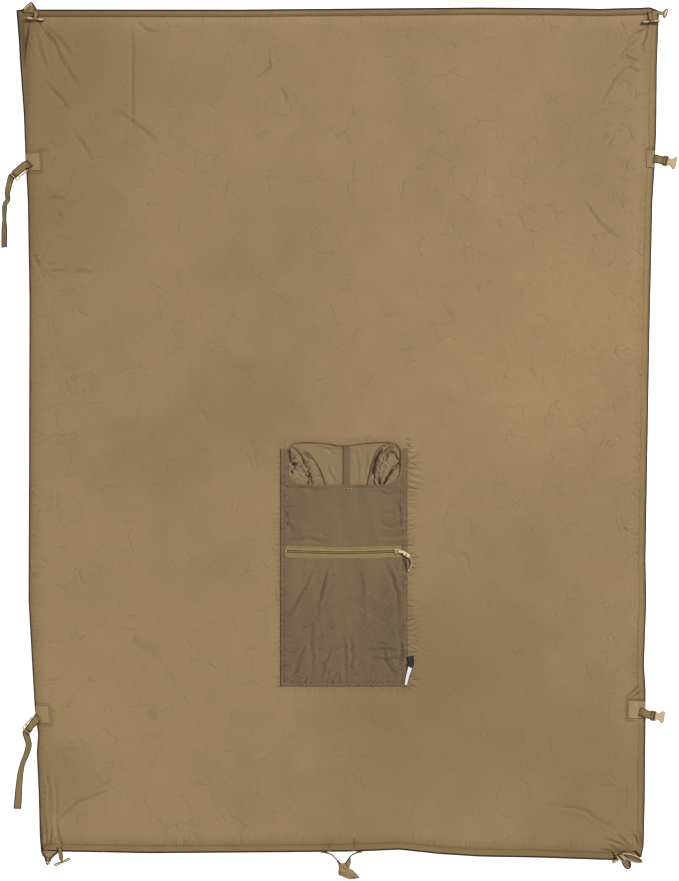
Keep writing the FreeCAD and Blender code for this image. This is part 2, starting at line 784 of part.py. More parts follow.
def toggles():
    """Moulded toggles turned from one profile, with a waist for the tape."""
    half, radius, waist = mm("toggle_length") / 2, mm("toggle_radius"), mm("toggle_waist")
    waist_half = mm("toggle_tape_width") / 2 + 0.6
    profile = [
        (0, -half), (radius - 1.2, -half), (radius, -half + 2), (radius, -waist_half - 1),
        (waist, -waist_half), (waist, waist_half), (radius, waist_half + 1),
        (radius, half - 2), (radius - 1.2, half), (0, half),
    ]
    for corner, (_, _, length) in TOGGLES.items():
        body = doc.addObject("PartDesign::Body", f"toggle_{corner}")
        sketch = body_sketch(body, f"toggle_{corner}_profile", "XY_Plane")
        closed_sketch(sketch, profile)
        turn = body.newObject("PartDesign::Revolution", f"toggle_{corner}_turned")
        turn.Profile = sketch
        turn.ReferenceAxis = (sketch, ["V_Axis"])
        turn.Angle = 360
        middle = FreeCAD.Placement(vector(length, 0, 0), FreeCAD.Rotation())
        body.Placement = toggle_frame(corner).multiply(middle)
        keep(body)


def folded_loop(name, foot_a, tip, foot_b):
    """A corner loop of narrow webbing folded to a point."""
    outer = [foot_a, tip, foot_b]
    centre_x = sum(x for x, _ in outer) / 3
    centre_y = sum(y for _, y in outer) / 3
    shrink = 1 - mm("loop_cord") / 6.2
    inner = [(centre_x + (x - centre_x) * shrink, centre_y + (y - centre_y) * shrink)
             for x, y in outer]
    low = mm("hem_top")
    ring = prism(outer, low, low + mm("loop_thickness")).cut(prism(inner, low - 1, low + 5))
    keep(solid(name, ring))


# the lower end of the straight corner loop's eye, with +X along the eye
EYE_FRAME = turned(748, 972.5, mm("hem_top"), 75)


def corner_loops():
    """Loops at the corners: two folded ones, a straight one and a two-lobed one."""
    folded_loop("corner_loop_top_left", (-733, 988), (-712, 1011), (-692, 989))
    folded_loop("corner_loop_bottom_left", (-688, -941), (-671, -976), (-659, -941))
    thickness = mm("loop_thickness")
    low = mm("hem_top")
    neck = prism([(722, 981), (749, 980), (749, 988), (722, 989)], low, low + thickness)
    eye = slot_ring(24, 10.4, 2.3)
    eye.Placement = EYE_FRAME
    window = prism([(5.2, -2.9), (18.8, -2.9), (18.8, 2.9), (5.2, 2.9)], -1, thickness + 1)
    window.Placement = EYE_FRAME
    straight = eye.fuse(neck).cut(window).removeSplitter()
    keep(solid("corner_loop_top_right", straight))
    lift = 11
    big = slot_ring(42, 15, 2.8)
    big.Placement = turned(648, -948, lift, -23)
    small = slot_ring(34, 13, 2.8)
    small.Placement = turned(648, -948, lift, -62)
    post = prism([(649.5, -948), (654.5, -948), (654.5, -943.3), (649.5, -943.3)],
                 mm("hem_top"), lift + thickness)
    keep(solid("corner_loop_bottom_right", big.fuse([small, post]).removeSplitter()))


def hang_loop():
    """The webbing loop at the middle of the bottom edge: two thin legs and a flat folded end."""
    legs = [
        ribbon([(-23, -948), (-12, -959), (4, -978)], 3),
        ribbon([(34, -948), (24, -960), (12, -978)], 3),
    ]
    end = [(0, -976), (15, -976), (20, -986), (48, -1008), (24, -1013), (-2, -999)]
    low, high = 0.2, 0.2 + mm("hang_loop_height")
    shape = prism(end, low, high).fuse([prism(leg, low, high) for leg in legs])
    shape = shape.cut(prism(flat(inset(0)), -1, mm("hem_top") + 1))
    keep(solid("hang_loop", shape.removeSplitter()))


def bar_tacks():
    """Short dense stitches: neckline, zip and both ends of the hang loop."""
    deck = mm("face_top") + mm("panel")
    places = [
        (19, -111, deck, 18), (12, -239, deck, 12),
        (-24, -946, mm("hem_top"), 9), (34, -946, mm("hem_top"), 9),
    ]
    tacks = []
    for count, (x, y, z, length) in enumerate(places, start=1):
        tacks.append(box(f"bar_tack_{count}", (x - length / 2, x + length / 2), (y - 1, y + 1),
                         (z, z + mm("tack")), Height="Sizes.tack"))
    keep(combined("Part::Compound", "bar_tacks", *tacks))


# ---------------------------------------------------------------- build, check and write

blanket_layers()
hem_bindings()
edge_zip_coil()
hood()
neck_binding()
pouch_panels()
pouch_zip()
zip_slider()
zip_pull()
pull_cord()
label()
patches()
webbing_loops()
female_buckles()
left_straps()
male_frames()
male_prongs()
toggle_tapes()
toggles()
corner_loops()
hang_loop()
bar_tacks()
doc.recompute()

for thing in doc.Objects:
    if {"Invalid", "Error"} & set(thing.State):
        raise RuntimeError(f"{thing.Label} failed: {thing.State}")
for node in nodes:
    if node.Shape.isNull() or not node.Shape.isValid() or not node.Shape.Solids:
        raise RuntimeError(f"{node.Label} has no valid solid")

os.makedirs("parts", exist_ok=True)
for node in nodes:
    node.Shape.exportStep(f"parts/{node.Label}.step")
print(f"{len(nodes)} sub-parts written")
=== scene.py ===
import math

import bmesh
import bpy
import numpy as np
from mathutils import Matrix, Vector


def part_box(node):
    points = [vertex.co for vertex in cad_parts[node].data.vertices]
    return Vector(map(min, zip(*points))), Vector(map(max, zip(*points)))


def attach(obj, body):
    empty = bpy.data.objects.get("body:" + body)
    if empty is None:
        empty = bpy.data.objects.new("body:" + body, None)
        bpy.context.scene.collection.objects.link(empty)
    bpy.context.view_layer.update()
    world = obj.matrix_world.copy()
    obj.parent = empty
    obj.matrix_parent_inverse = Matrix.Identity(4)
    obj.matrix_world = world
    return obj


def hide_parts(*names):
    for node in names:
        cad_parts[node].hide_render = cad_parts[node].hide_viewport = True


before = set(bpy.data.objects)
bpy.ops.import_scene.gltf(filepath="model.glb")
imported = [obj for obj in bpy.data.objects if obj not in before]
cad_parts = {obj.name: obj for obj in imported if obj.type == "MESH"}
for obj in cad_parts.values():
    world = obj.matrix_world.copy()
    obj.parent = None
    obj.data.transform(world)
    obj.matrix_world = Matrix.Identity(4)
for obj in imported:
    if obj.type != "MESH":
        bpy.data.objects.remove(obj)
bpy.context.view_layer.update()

# A layout field blind: an insulated tan blanket lying face up, with a pouch below its neck
# opening. Sizes here are in millimetres until a mesh is made, in the CAD frame: +X to the
# right, +Y towards the top edge, +Z up. Places come from the CAD nodes' boxes.

MM = 0.001


def span(node):
    """A CAD node's box in millimetres, as three (low, high) pairs."""
    low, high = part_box(node)
    return [(low[axis] / MM, high[axis] / MM) for axis in range(3)]


# ---------------------------------------------------------------- camera, floor and lights

# in metres
CAMERA_HEIGHT = 5.642
FLOOR_SIZE = 40
# in millimetres
LENS = 100
SENSOR = 36
FLOOR_DROP = 0.6
# strengths of light
FLOOR_GLOW = 0.8
SURROUND = 0.36


def make_camera():
    """Straight down over the middle, with the top edge of the blanket up in the frame."""
    data = bpy.data.cameras.new("camera")
    data.lens = LENS
    data.sensor_width = SENSOR
    camera = bpy.data.objects.new("camera", data)
    camera.location = (0, 0, CAMERA_HEIGHT)
    bpy.context.scene.collection.objects.link(camera)
    bpy.context.scene.camera = camera


def soft_light(name, towards, strength, spread):
    """A far softbox: even light from one direction, spread over an angle in degrees."""
    data = bpy.data.lights.new(name, "SUN")
    data.energy = strength
    data.angle = math.radians(spread)
    light = bpy.data.objects.new(name, data)
    light.location = towards
    light.rotation_euler = Vector(towards).to_track_quat("Z", "Y").to_euler()
    bpy.context.scene.collection.objects.link(light)


def make_studio():
    """A white floor, a key light from the upper right, a fill and a pale surround."""
    soft_light("key", (2.6, 1.9, 2.7), 3.5, 12)
    soft_light("fill", (-1.2, -0.6, 3.0), 0.4, 40)
    world = bpy.data.worlds.new("studio")
    bpy.context.scene.world = world
    world.use_nodes = True
    background = world.node_tree.nodes["Background"]
    background.inputs["Color"].default_value = (1, 1, 1, 1)
    background.inputs["Strength"].default_value = SURROUND
    bpy.context.scene.view_settings.view_transform = "Standard"
    mesh = bpy.data.meshes.new("floor")
    shape = bmesh.new()
    bmesh.ops.create_grid(shape, x_segments=8, y_segments=8, size=FLOOR_SIZE)
    shape.to_mesh(mesh)
    shape.free()
    floor = bpy.data.objects.new("floor", mesh)
    floor.location = (0, 0, -FLOOR_DROP * MM)
    bpy.context.scene.collection.objects.link(floor)
    paint = Paint("floor_white", (250, 250, 250), roughness=0.9, gloss=0.1)
    paint.mottle(1.5, 0.01)
    paint.shader.inputs["Emission Color"].default_value = (1, 1, 1, 1)
    paint.shader.inputs["Emission Strength"].default_value = FLOOR_GLOW
    mesh.materials.append(paint.material)


# ---------------------------------------------------------------- materials


def linear(colour):
    """An sRGB colour from 0 to 255 as linear light."""
    parts = [part / 255 for part in colour]
    parts = [part / 12.92 if part <= 0.04045 else ((part + 0.055) / 1.055) ** 2.4
             for part in parts]
    return (*parts, 1)


class Paint:
    """A procedural material in layers: mottled colour, then bumps from fine to coarse."""

    def __init__(self, name, colour, roughness, gloss=0.3, sheen=0.0):
        self.material = bpy.data.materials.new(name)
        self.material.use_nodes = True
        self.tree = self.material.node_tree
        self.shader = self.tree.nodes["Principled BSDF"]
        self.shader.inputs["Base Color"].default_value = linear(colour)
        self.shader.inputs["Roughness"].default_value = roughness
        self.shader.inputs["Specular IOR Level"].default_value = gloss
        self.shader.inputs["Sheen Weight"].default_value = sheen
        self.base = linear(colour)
        self.colour = None
        self.normal = None
        self.place = self.tree.nodes.new("ShaderNodeTexCoord").outputs["Object"]

    def node(self, kind, **inputs):
        """A shader node, with its inputs set to values or linked to other nodes' outputs."""
        made = self.tree.nodes.new("ShaderNode" + kind)
        for name, value in inputs.items():
            socket = made.inputs[name.replace("_", " ")]
            if isinstance(value, bpy.types.NodeSocket):
                self.tree.links.new(value, socket)
            else:
                socket.default_value = value
        return made

    def noise(self, scale, detail=3.0, stretch=(1, 1, 1)):
        """Soft noise from 0 to 1. The scale is about how many lumps there are in a metre."""
        place = self.node("Mapping", Vector=self.place, Scale=stretch).outputs["Vector"]
        return self.node("TexNoise", Vector=place, Scale=scale, Detail=detail).outputs["Fac"]

    def math(self, operation, first, second):
        """The result of a math operation on two values, each a number or a node's output."""
        made = self.tree.nodes.new("ShaderNodeMath")
        made.operation = operation
        for socket, value in zip(made.inputs, (first, second)):
            if isinstance(value, bpy.types.NodeSocket):
                self.tree.links.new(value, socket)
            else:
                socket.default_value = value
        return made.outputs["Value"]

    def mark(self, name):
        """A value that a mesh carries on its points, 0 where it has none."""
        attribute = self.tree.nodes.new("ShaderNodeAttribute")
        attribute.attribute_name = name
        return attribute.outputs["Fac"]

    def tone(self, contrast):
        """Broad tones from the "tone" mark, -1 dark to 1 light, and shade from "shade"."""
        mask = self.node("MapRange", Value=self.mark("tone"), From_Min=-1.0, From_Max=1.0,
                         To_Min=0.65, To_Max=0.35).outputs["Result"]
        self.tint(mask, self.darker(contrast), 1.0)
        shade = self.node("MapRange", Value=self.mark("shade"), To_Min=0.35, To_Max=0.65)
        self.tint(shade.outputs["Result"], self.darker(0.95), 1.0)

    def darker(self, amount):
        """The base colour, darker and a little warmer."""
        red, green, blue = self.base[:3]
        return (red * (1 - amount), green * (1 - amount * 1.03), blue * (1 - amount * 1.1), 1)

    def creased(self, scale, reach, depth, shade, stretch=(1, 1, 1), where=None):
        """Thin straight creases, a few along the borders of random cells: grooves with shade.
        reach is a crease's half width in millimetres; where is a mask, or None for patches."""
        place = self.node("Mapping", Vector=self.place, Scale=stretch).outputs["Vector"]
        if where is None:
            patches = self.node("TexNoise", Vector=place, Scale=scale * 1.3, Detail=2.0)
            where = self.node("MapRange", Value=patches.outputs["Fac"], From_Min=0.52,
                              From_Max=0.6).outputs["Result"]
            bend = self.node("Mapping", Vector=patches.outputs["Color"],
                             Scale=(0.9 / scale, 0.9 / scale, 0)).outputs["Vector"]
            place = self.node("Mapping", Vector=place, Location=bend).outputs["Vector"]
        cells = self.node("TexVoronoi", Vector=place, Scale=scale)
        cells.feature = "DISTANCE_TO_EDGE"
        line = self.node("MapRange", Value=cells.outputs["Distance"], From_Min=0.0,
                         From_Max=reach * MM * scale, To_Min=1.0, To_Max=0.0).outputs["Result"]
        line = self.math("MULTIPLY", line, where)
        mask = self.node("MapRange", Value=line, To_Min=0.35, To_Max=0.65).outputs["Result"]
        self.tint(mask, self.darker(0.78), shade)
        self.relief(self.math("SUBTRACT", 1.0, line), depth, 1.0)

    def waves(self, period, direction, distortion=0.4):
        """Ribs across one direction, a period apart in millimetres."""
        wave = self.node("TexWave", Vector=self.place, Scale=math.tau / (20 * period * MM),
                         Distortion=distortion)
        wave.bands_direction = direction
        return wave.outputs["Fac"]

    def tint(self, mask, colour, amount):
        """Turns the colour towards another one where a mask is high."""
        mix = self.tree.nodes.new("ShaderNodeMix")
        mix.data_type = "RGBA"
        ramp = self.node("MapRange", Value=mask, From_Min=0.35, From_Max=0.65,
                         To_Min=0.0, To_Max=amount)
        self.tree.links.new(ramp.outputs["Result"], mix.inputs["Factor"])
        if self.colour:
            self.tree.links.new(self.colour, mix.inputs["A"])
        else:
            mix.inputs["A"].default_value = self.base
        mix.inputs["B"].default_value = colour
        self.colour = mix.outputs["Result"]
        self.tree.links.new(self.colour, self.shader.inputs["Base Color"])

    def mottle(self, scale, contrast, stretch=(1, 1, 1)):
        """Soft lighter and darker patches."""
        self.tint(self.noise(scale, stretch=stretch), self.darker(2 * contrast), 1.0)

    def relief(self, height, depth, strength=1.0):
        """Bumps of a depth in millimetres from a height mask."""
        bump = self.node("Bump", Height=height, Distance=depth * MM, Strength=strength)
        if self.normal:
            self.tree.links.new(self.normal, bump.inputs["Normal"])
        self.normal = bump.outputs["Normal"]
        self.tree.links.new(self.normal, self.shader.inputs["Normal"])

    def rough_patches(self, scale, low, high):
        """Roughness that wanders between two values."""
        ramp = self.node("MapRange", Value=self.noise(scale), From_Min=0.3, From_Max=0.7,
                         To_Min=low, To_Max=high)
        self.tree.links.new(ramp.outputs["Result"], self.shader.inputs["Roughness"])


def woven_nylon(name, colour, contrast=0.05, packed=False):
    """Light plain-weave nylon: soft patches, crinkles and a square weave. Cloth that was
    packed also has thin creases, and fine puckers where its mesh is marked as gathered."""
    paint = Paint(name, colour, roughness=0.62, gloss=0.25, sheen=0.08)
    paint.mottle(26, contrast)
    if packed:
        paint.mottle(6, contrast)
        paint.mottle(110, contrast * 0.5, stretch=(1, 0.25, 1))
        paint.creased(17, 1.5, 0.45, 0.2)
        for mark, stretch in (("gather_x", (0.4, 1.8, 1)), ("gather_y", (1.8, 0.4, 1))):
            paint.creased(44, 1.4, 1.0, 0.6, stretch=stretch, where=paint.mark(mark))
    paint.relief(paint.noise(60, detail=3, stretch=(1, 0.6, 1)), 0.9, 0.5)
    paint.tone(0.34)
    paint.relief(paint.waves(0.8, "X"), 0.05, 0.3)
    paint.relief(paint.waves(0.8, "Y"), 0.05, 0.3)
    paint.rough_patches(6, 0.56, 0.7)
    return paint.material


def woven_tape(name, colour, rib=1.6):
    """Ribbed narrow weaving, as on webbing, tapes and bindings."""
    paint = Paint(name, colour, roughness=0.75, gloss=0.2, sheen=0.15)
    paint.mottle(25, 0.06)
    paint.mottle(400, 0.12)
    paint.tone(0.2)
    paint.relief(paint.waves(rib, "X", 1.0), 0.25, 0.6)
    paint.relief(paint.waves(rib, "Y", 1.0), 0.25, 0.6)
    return paint.material


PLASTIC_ROUGHNESS = 0.42


def moulded(name, colour, side_shade=2.6):
    """Moulded plastic with a fine spark-eroded grain and scuffs, and painted shade on its sides
    that comes up to a distance in millimetres over their edges."""
    paint = Paint(name, colour, roughness=PLASTIC_ROUGHNESS, gloss=0.4)
    paint.mottle(30, 0.04)
    # painted shade: where the rounded normal turns away from the piece's up axis, the colour
    # darkens
    rounded = paint.node("Bevel", Radius=side_shade * MM).outputs["Normal"]
    on_piece = paint.node("VectorTransform", Vector=rounded)
    on_piece.vector_type = "NORMAL"
    on_piece.convert_from = "WORLD"
    on_piece.convert_to = "OBJECT"
    height = paint.node("SeparateXYZ", Vector=on_piece.outputs["Vector"]).outputs["Z"]
    height = paint.math("ABSOLUTE", height, 0.0)
    sides = paint.node("MapRange", Value=height, From_Min=0.84, From_Max=0.99, To_Min=0.65,
                       To_Max=0.35).outputs["Result"]
    paint.tint(sides, paint.darker(0.88), 1.0)
    paint.relief(paint.noise(900, detail=2), 0.06, 0.35)
    paint.rough_patches(60, PLASTIC_ROUGHNESS - 0.06, PLASTIC_ROUGHNESS + 0.12)
    return paint.material


def make_materials():
    """Every finish on the object, by the record's material slot."""
    metal = Paint("slider_metal", (205, 180, 130), roughness=0.34)
    metal.mottle(60, 0.05)
    metal.relief(metal.noise(500), 0.05, 0.3)
    metal.rough_patches(80, 0.28, 0.45)
    metal.shader.inputs["Metallic"].default_value = 0.35
    return {
        "shell_cloth": woven_nylon("shell_cloth", (155, 128, 88), 0.06, packed=True),
        "back_cloth": woven_nylon("back_cloth", (128, 102, 66)),
        "lining_cloth": woven_nylon("lining_cloth", (146, 122, 87), packed=True),
        "hem_cloth": woven_nylon("hem_cloth", (141, 113, 71)),
        "seam_tape": woven_nylon("seam_tape", (119, 99, 70)),
        "insulation": woven_nylon("insulation", (214, 208, 196)),
        "pouch_cloth": woven_nylon("pouch_cloth", (119, 100, 70), 0.05, packed=True),
        "patch_cloth": woven_nylon("patch_cloth", (158, 132, 93)),
        "webbing": woven_tape("webbing", (138, 115, 74)),
        "zip_tape": woven_tape("zip_tape", (166, 139, 94), 0.9),
        "zip_coil": moulded("zip_coil", (176, 148, 103), side_shade=0.2),
        "edge_coil": moulded("edge_coil", (158, 128, 84), side_shade=0.2),
        "slider_metal": metal.material,
        "moulded_tan": moulded("moulded_tan", (190, 164, 121)),
        "toggle_tan": moulded("toggle_tan", (216, 190, 150)),
        # a dark brown that stands for shade: between a cord's strands, and as the dark outlines of
        # loops and lobes
        "cord_shade": woven_tape("cord_shade", (70, 54, 32), 0.8),
        "cord": woven_tape("cord", (214, 190, 148), 0.8),
        "label_light": woven_nylon("label_light", (236, 236, 236), 0.02),
        "label_dark": woven_nylon("label_dark", (40, 42, 48), 0.05),
        "thread": woven_tape("thread", (112, 88, 56), 0.5),
        "pouch_thread": woven_tape("pouch_thread", (98, 80, 54), 0.5),
        "thread_light": woven_tape("thread_light", (196, 174, 134), 0.5),
        "tack_thread": woven_tape("tack_thread", (236, 220, 188), 0.5),
    }


# ---------------------------------------------------------------- random heights and folds


def lumps(x, y, size, seed):
    """Smooth random heights from -1 to 1, in lumps of about one size."""
    table = np.random.default_rng(seed).uniform(-1, 1, (97, 97))
    column, row = np.broadcast_arrays(x / size + 31.7, y / size + 17.3)
    left, low = np.floor(column).astype(int), np.floor(row).astype(int)
    across, up = column - left, row - low
    across = across**2 * (3 - 2 * across)
    up = up**2 * (3 - 2 * up)

    def corner(right, above):
        return table[(low + above) % 97, (left + right) % 97]

    bottom = corner(0, 0) * (1 - across) + corner(1, 0) * across
    top = corner(0, 1) * (1 - across) + corner(1, 1) * across
    return bottom * (1 - up) + top * up


def fade(value, start, end):
    """0 before start, 1 after end, and a smooth turn between them."""
    share = np.clip((value - start) / (end - start), 0, 1)
    return share * share * (3 - 2 * share)


def beside(x, y, path):
    """For each place: its distance from a chain of points, positive on the left of it, and how
    far along the chain it is, from 0 to 1."""
    path = np.array(path, float)
    nearest = np.full(x.shape, 1e9)
    signed, share = np.zeros(x.shape), np.zeros(x.shape)
    runs = np.hypot(*(path[1:] - path[:-1]).T)
    done = 0.0
    for start, end, run in zip(path, path[1:], runs):
        along_x, along_y = (end - start) / run
        along = np.clip((x - start[0]) * along_x + (y - start[1]) * along_y, 0, run)
        off_x, off_y = x - start[0] - along * along_x, y - start[1] - along * along_y
        distance = np.hypot(off_x, off_y)
        closer = distance < nearest
        side = np.where(along_x * off_y - along_y * off_x > 0, 1, -1)
        nearest = np.where(closer, distance, nearest)
        signed = np.where(closer, distance * side, signed)
        share = np.where(closer, (done + along) / runs.sum(), share)
        done += run
    return signed, share


def add_fold(x, y, z, path, width, height):
    """Raises z along a chain of points: a groove with a ridge beside it, gone at both ends."""
    path = np.array(path, float)
    low, high = path.min(0) - 4 * width, path.max(0) + 4 * width
    near = (x > low[0]) & (x < high[0]) & (y > low[1]) & (y < high[1])
    if not near.any():
        return
    px, py = x[near], y[near]
    signed, share = beside(px, py, path)
    signed = signed + width * 0.5 * lumps(px, py, 3 * width, 5)
    profile = 0.8 * np.exp(-((signed / width - 1.5) ** 2)) - np.exp(-((signed / width) ** 2))
    z[near] += height * profile * np.sin(math.pi * share) ** 0.6


def add_gap(x, y, z, shade, path, width, depth, dark):
    """Cuts a deep gap between layers of cloth along a chain of points, darkened with painted shade.
    """
    signed, share = beside(x, y, smoothed(path, 3))
    breadth = width * (0.66 + 0.8 * np.sin(math.pi * share)) * (1 + 0.45 * lumps(x, y, 5, 6))
    hollow = np.exp(-(((signed + 0.8 * lumps(x, y, 9, 7)) / breadth) ** 2))
    z -= depth * hollow
    np.maximum(shade, dark * hollow, out=shade)


def add_puckers(z, along, away, spacing, reach, height, seed):
    """Small creases that start at a seam and run away from it, each to its own length."""
    slant = 0.5 * lumps(along, 0 * away, 9 * spacing, seed + 1)
    place = along + slant * away + 0.9 * spacing * lumps(along, away * 0.6, 3 * spacing, seed)
    waves = np.abs(np.sin(math.pi * place / spacing)) - 0.6
    length = reach * (0.6 + 0.5 * lumps(along, 0 * away, 1.3 * spacing, seed + 2))
    strength = np.exp(-((away / length) ** 2)) * (0.6 + 0.6 * lumps(along, away, 40, seed + 3))
    z += height * strength * waves * np.minimum(away / 1.5, 1)


def scatter_folds(x, y, z, count, area, length, width, height, seed):
    """Short random creases over an area of (low x, high x, low y, high y)."""
    chance = np.random.default_rng(seed)
    for _ in range(count):
        cx, cy = chance.uniform(*area[:2]), chance.uniform(*area[2:])
        way = chance.uniform(0, math.pi)
        bend = chance.uniform(-0.5, 0.5)
        half = length * chance.uniform(0.4, 1.0) / 2
        path = [
            (cx - half * math.cos(way), cy - half * math.sin(way)),
            (cx, cy),
            (cx + half * math.cos(way + bend), cy + half * math.sin(way + bend)),
        ]
        add_fold(x, y, z, path, width * chance.uniform(0.7, 1.3),
                 height * chance.uniform(0.3, 1.0))


# ---------------------------------------------------------------- making meshes


def make_piece(name, vertices, faces, paint, marks=None):
    """A mesh object from points in millimetres. marks are values on its points, by name."""
    mesh = bpy.data.meshes.new(name)
    mesh.from_pydata((np.array(vertices, float) * MM).tolist(), [], faces)
    mesh.polygons.foreach_set("use_smooth", [True] * len(mesh.polygons))
    mesh.materials.append(PAINTS[paint])
    for mark, values in (marks or {}).items():
        attribute = mesh.attributes.new(mark, "FLOAT", "POINT")
        attribute.data.foreach_set("value", np.ravel(values).astype(np.float32))
    obj = bpy.data.objects.new(name, mesh)
    bpy.context.scene.collection.objects.link(obj)
    return obj


def faced_outwards(obj):
    """Turns the faces of a closed mesh outwards."""
    shape = bmesh.new()
    shape.from_mesh(obj.data)
    bmesh.ops.recalc_face_normals(shape, faces=shape.faces)
    shape.to_mesh(obj.data)
    shape.free()
    return obj


def tube_sides(rings, sides, closed=False):
    """Quads between rings of points stored ring by ring, without the ends."""
    faces = []
    for ring in range(rings if closed else rings - 1):
        for corner in range(sides):
            following = (corner + 1) % sides
            here, there = ring * sides, ((ring + 1) % rings) * sides
            faces.append([here + corner, here + following, there + following, there + corner])
    return faces


def grid_faces(rows, columns, first, keep):
    """Quads over a grid of points stored row by row. keep is a mask of the cells to make."""
    cells = first + np.arange(rows * columns).reshape(rows, columns)
    quads = np.stack([cells[:-1, :-1], cells[:-1, 1:], cells[1:, 1:], cells[1:, :-1]], axis=2)
    quads = quads[keep] if keep is not None else quads.reshape(-1, 4)
    return quads.tolist()


def make_cloth(name, parts, paint, thickness, marks=None):
    """A cloth from one or more (x, y, z[, keep]) grids, merged where they meet."""
    vertices, faces = [], []
    for part in parts:
        x, y, z = part[:3]
        faces += grid_faces(*x.shape, first=len(vertices),
                            keep=part[3] if len(part) > 3 else None)
        vertices += np.stack([x, y, z], axis=2).reshape(-1, 3).tolist()
    obj = make_piece(name, vertices, faces, paint, marks=marks)
    shape = bmesh.new()
    shape.from_mesh(obj.data)
    bmesh.ops.remove_doubles(shape, verts=shape.verts, dist=0.02 * MM)
    loose = [vertex for vertex in shape.verts if not vertex.link_faces]
    bmesh.ops.delete(shape, geom=loose, context="VERTS")
    bmesh.ops.recalc_face_normals(shape, faces=shape.faces)
    if sum(face.normal.z for face in shape.faces) < 0:
        bmesh.ops.reverse_faces(shape, faces=shape.faces)
    shape.to_mesh(obj.data)
    shape.free()
    if thickness:
        shell = obj.modifiers.new("thickness", "SOLIDIFY")
        shell.thickness = thickness * MM
        shell.offset = -1
    return obj


def step_lengths(line):
    """The distance from each point of a line to the next."""
    return np.linalg.norm(np.diff(np.array(line, float), axis=0), axis=1)


def distances(line):
    """How far along a line of points each of them is."""
    return np.concatenate([[0], np.cumsum(step_lengths(line))])


def smoothed(points, step):
    """A smooth line through points, sampled about a step apart."""
    points = np.array(points, float)
    padded = np.vstack([2 * points[0] - points[1], points, 2 * points[-1] - points[-2]])
    line = []
    for p0, p1, p2, p3 in zip(padded, padded[1:], padded[2:], padded[3:]):
        count = max(2, int(np.linalg.norm(p2 - p1) / step))
        for share in np.arange(count) / count:
            line.append(0.5 * (2 * p1 + (p2 - p0) * share
                               + (2 * p0 - 5 * p1 + 4 * p2 - p3) * share**2
                               + (3 * p1 - p0 - 3 * p2 + p3) * share**3))
    return np.array(line + [points[-1]])


BAND_SIDES = 16


def rounded_band(width, thickness):
    """The section of a strap: flat faces, and edges that are rounded and a little thicker."""
    w, t = width / 2, thickness / 2
    upper = [(-w, 0), (-w + 0.15 * t, 0.75 * t), (-0.8 * w, 1.05 * t), (-0.66 * w, 0.9 * t),
             (0, 0.9 * t), (0.66 * w, 0.9 * t), (0.8 * w, 1.05 * t), (w - 0.15 * t, 0.75 * t)]
    return upper + [(-a, -b) for a, b in upper]


def round_section(radius, sides):
    """The section of a cord or a rib: a circle with so many sides."""
    turns = np.arange(sides) * math.tau / sides
    return [(radius * math.cos(turn), radius * math.sin(turn)) for turn in turns]


def swept(name, path, section, paint, side=None, roll=0.0, scale=1.0, closed=False, dark=0.0,
          rim=0.92):
    """A section swept along a path. The section's first axis lies across the path, level or
    along a given side direction, and is rolled by an angle in degrees; scale widens it, and
    dark shades it along the way, and rim shades the edges of a flat band."""
    path = np.array(path, float)
    count = len(path)
    if closed:
        tangent = np.roll(path, -1, 0) - np.roll(path, 1, 0)
    else:
        tangent = np.gradient(path, axis=0)
    tangent /= np.linalg.norm(tangent, axis=1)[:, None]
    if side is None:
        across = np.cross([0.0, 0.0, 1.0], tangent)
    else:
        across = np.tile(np.array(side, float), (count, 1))
        across -= (across * tangent).sum(1)[:, None] * tangent
    across /= np.linalg.norm(across, axis=1)[:, None]
    normal = np.cross(tangent, across)
    turn = np.radians(np.broadcast_to(roll, count))[:, None]
    across, normal = (across * np.cos(turn) + normal * np.sin(turn),
                      normal * np.cos(turn) - across * np.sin(turn))
    scale = np.broadcast_to(scale, count)
    section = np.array(section)
    rings = []
    for place in range(count):
        spread = section[:, :1] * across[place] * scale[place] + section[:, 1:] * normal[place]
        rings.append(path[place] + spread)
    sides = len(section)
    reach = np.abs(section[:, 0]) / np.abs(section[:, 0]).max()
    is_band = sides == BAND_SIDES
    # painted shade along both edges of a flat band
    rim_shade = np.tile(rim * fade(reach, 0.67, 0.8) * is_band, count)
    shade = np.maximum(rim_shade, np.repeat(np.broadcast_to(dark, count), sides))
    faces = tube_sides(count, sides, closed)
    if not closed:
        faces.append(list(range(sides))[::-1])
        faces.append([(count - 1) * sides + corner for corner in range(sides)])
    return faced_outwards(make_piece(name, np.vstack(rings), faces, paint,
                                     marks={"shade": shade}))


def evenly(chain, count):
    """Places spaced evenly along a smooth line through points in plan."""
    line = smoothed(chain, 1)
    run = distances(line)
    picks = np.linspace(0, run[-1], count)
    return np.stack([np.interp(picks, run, line[:, axis]) for axis in (0, 1)], 1)


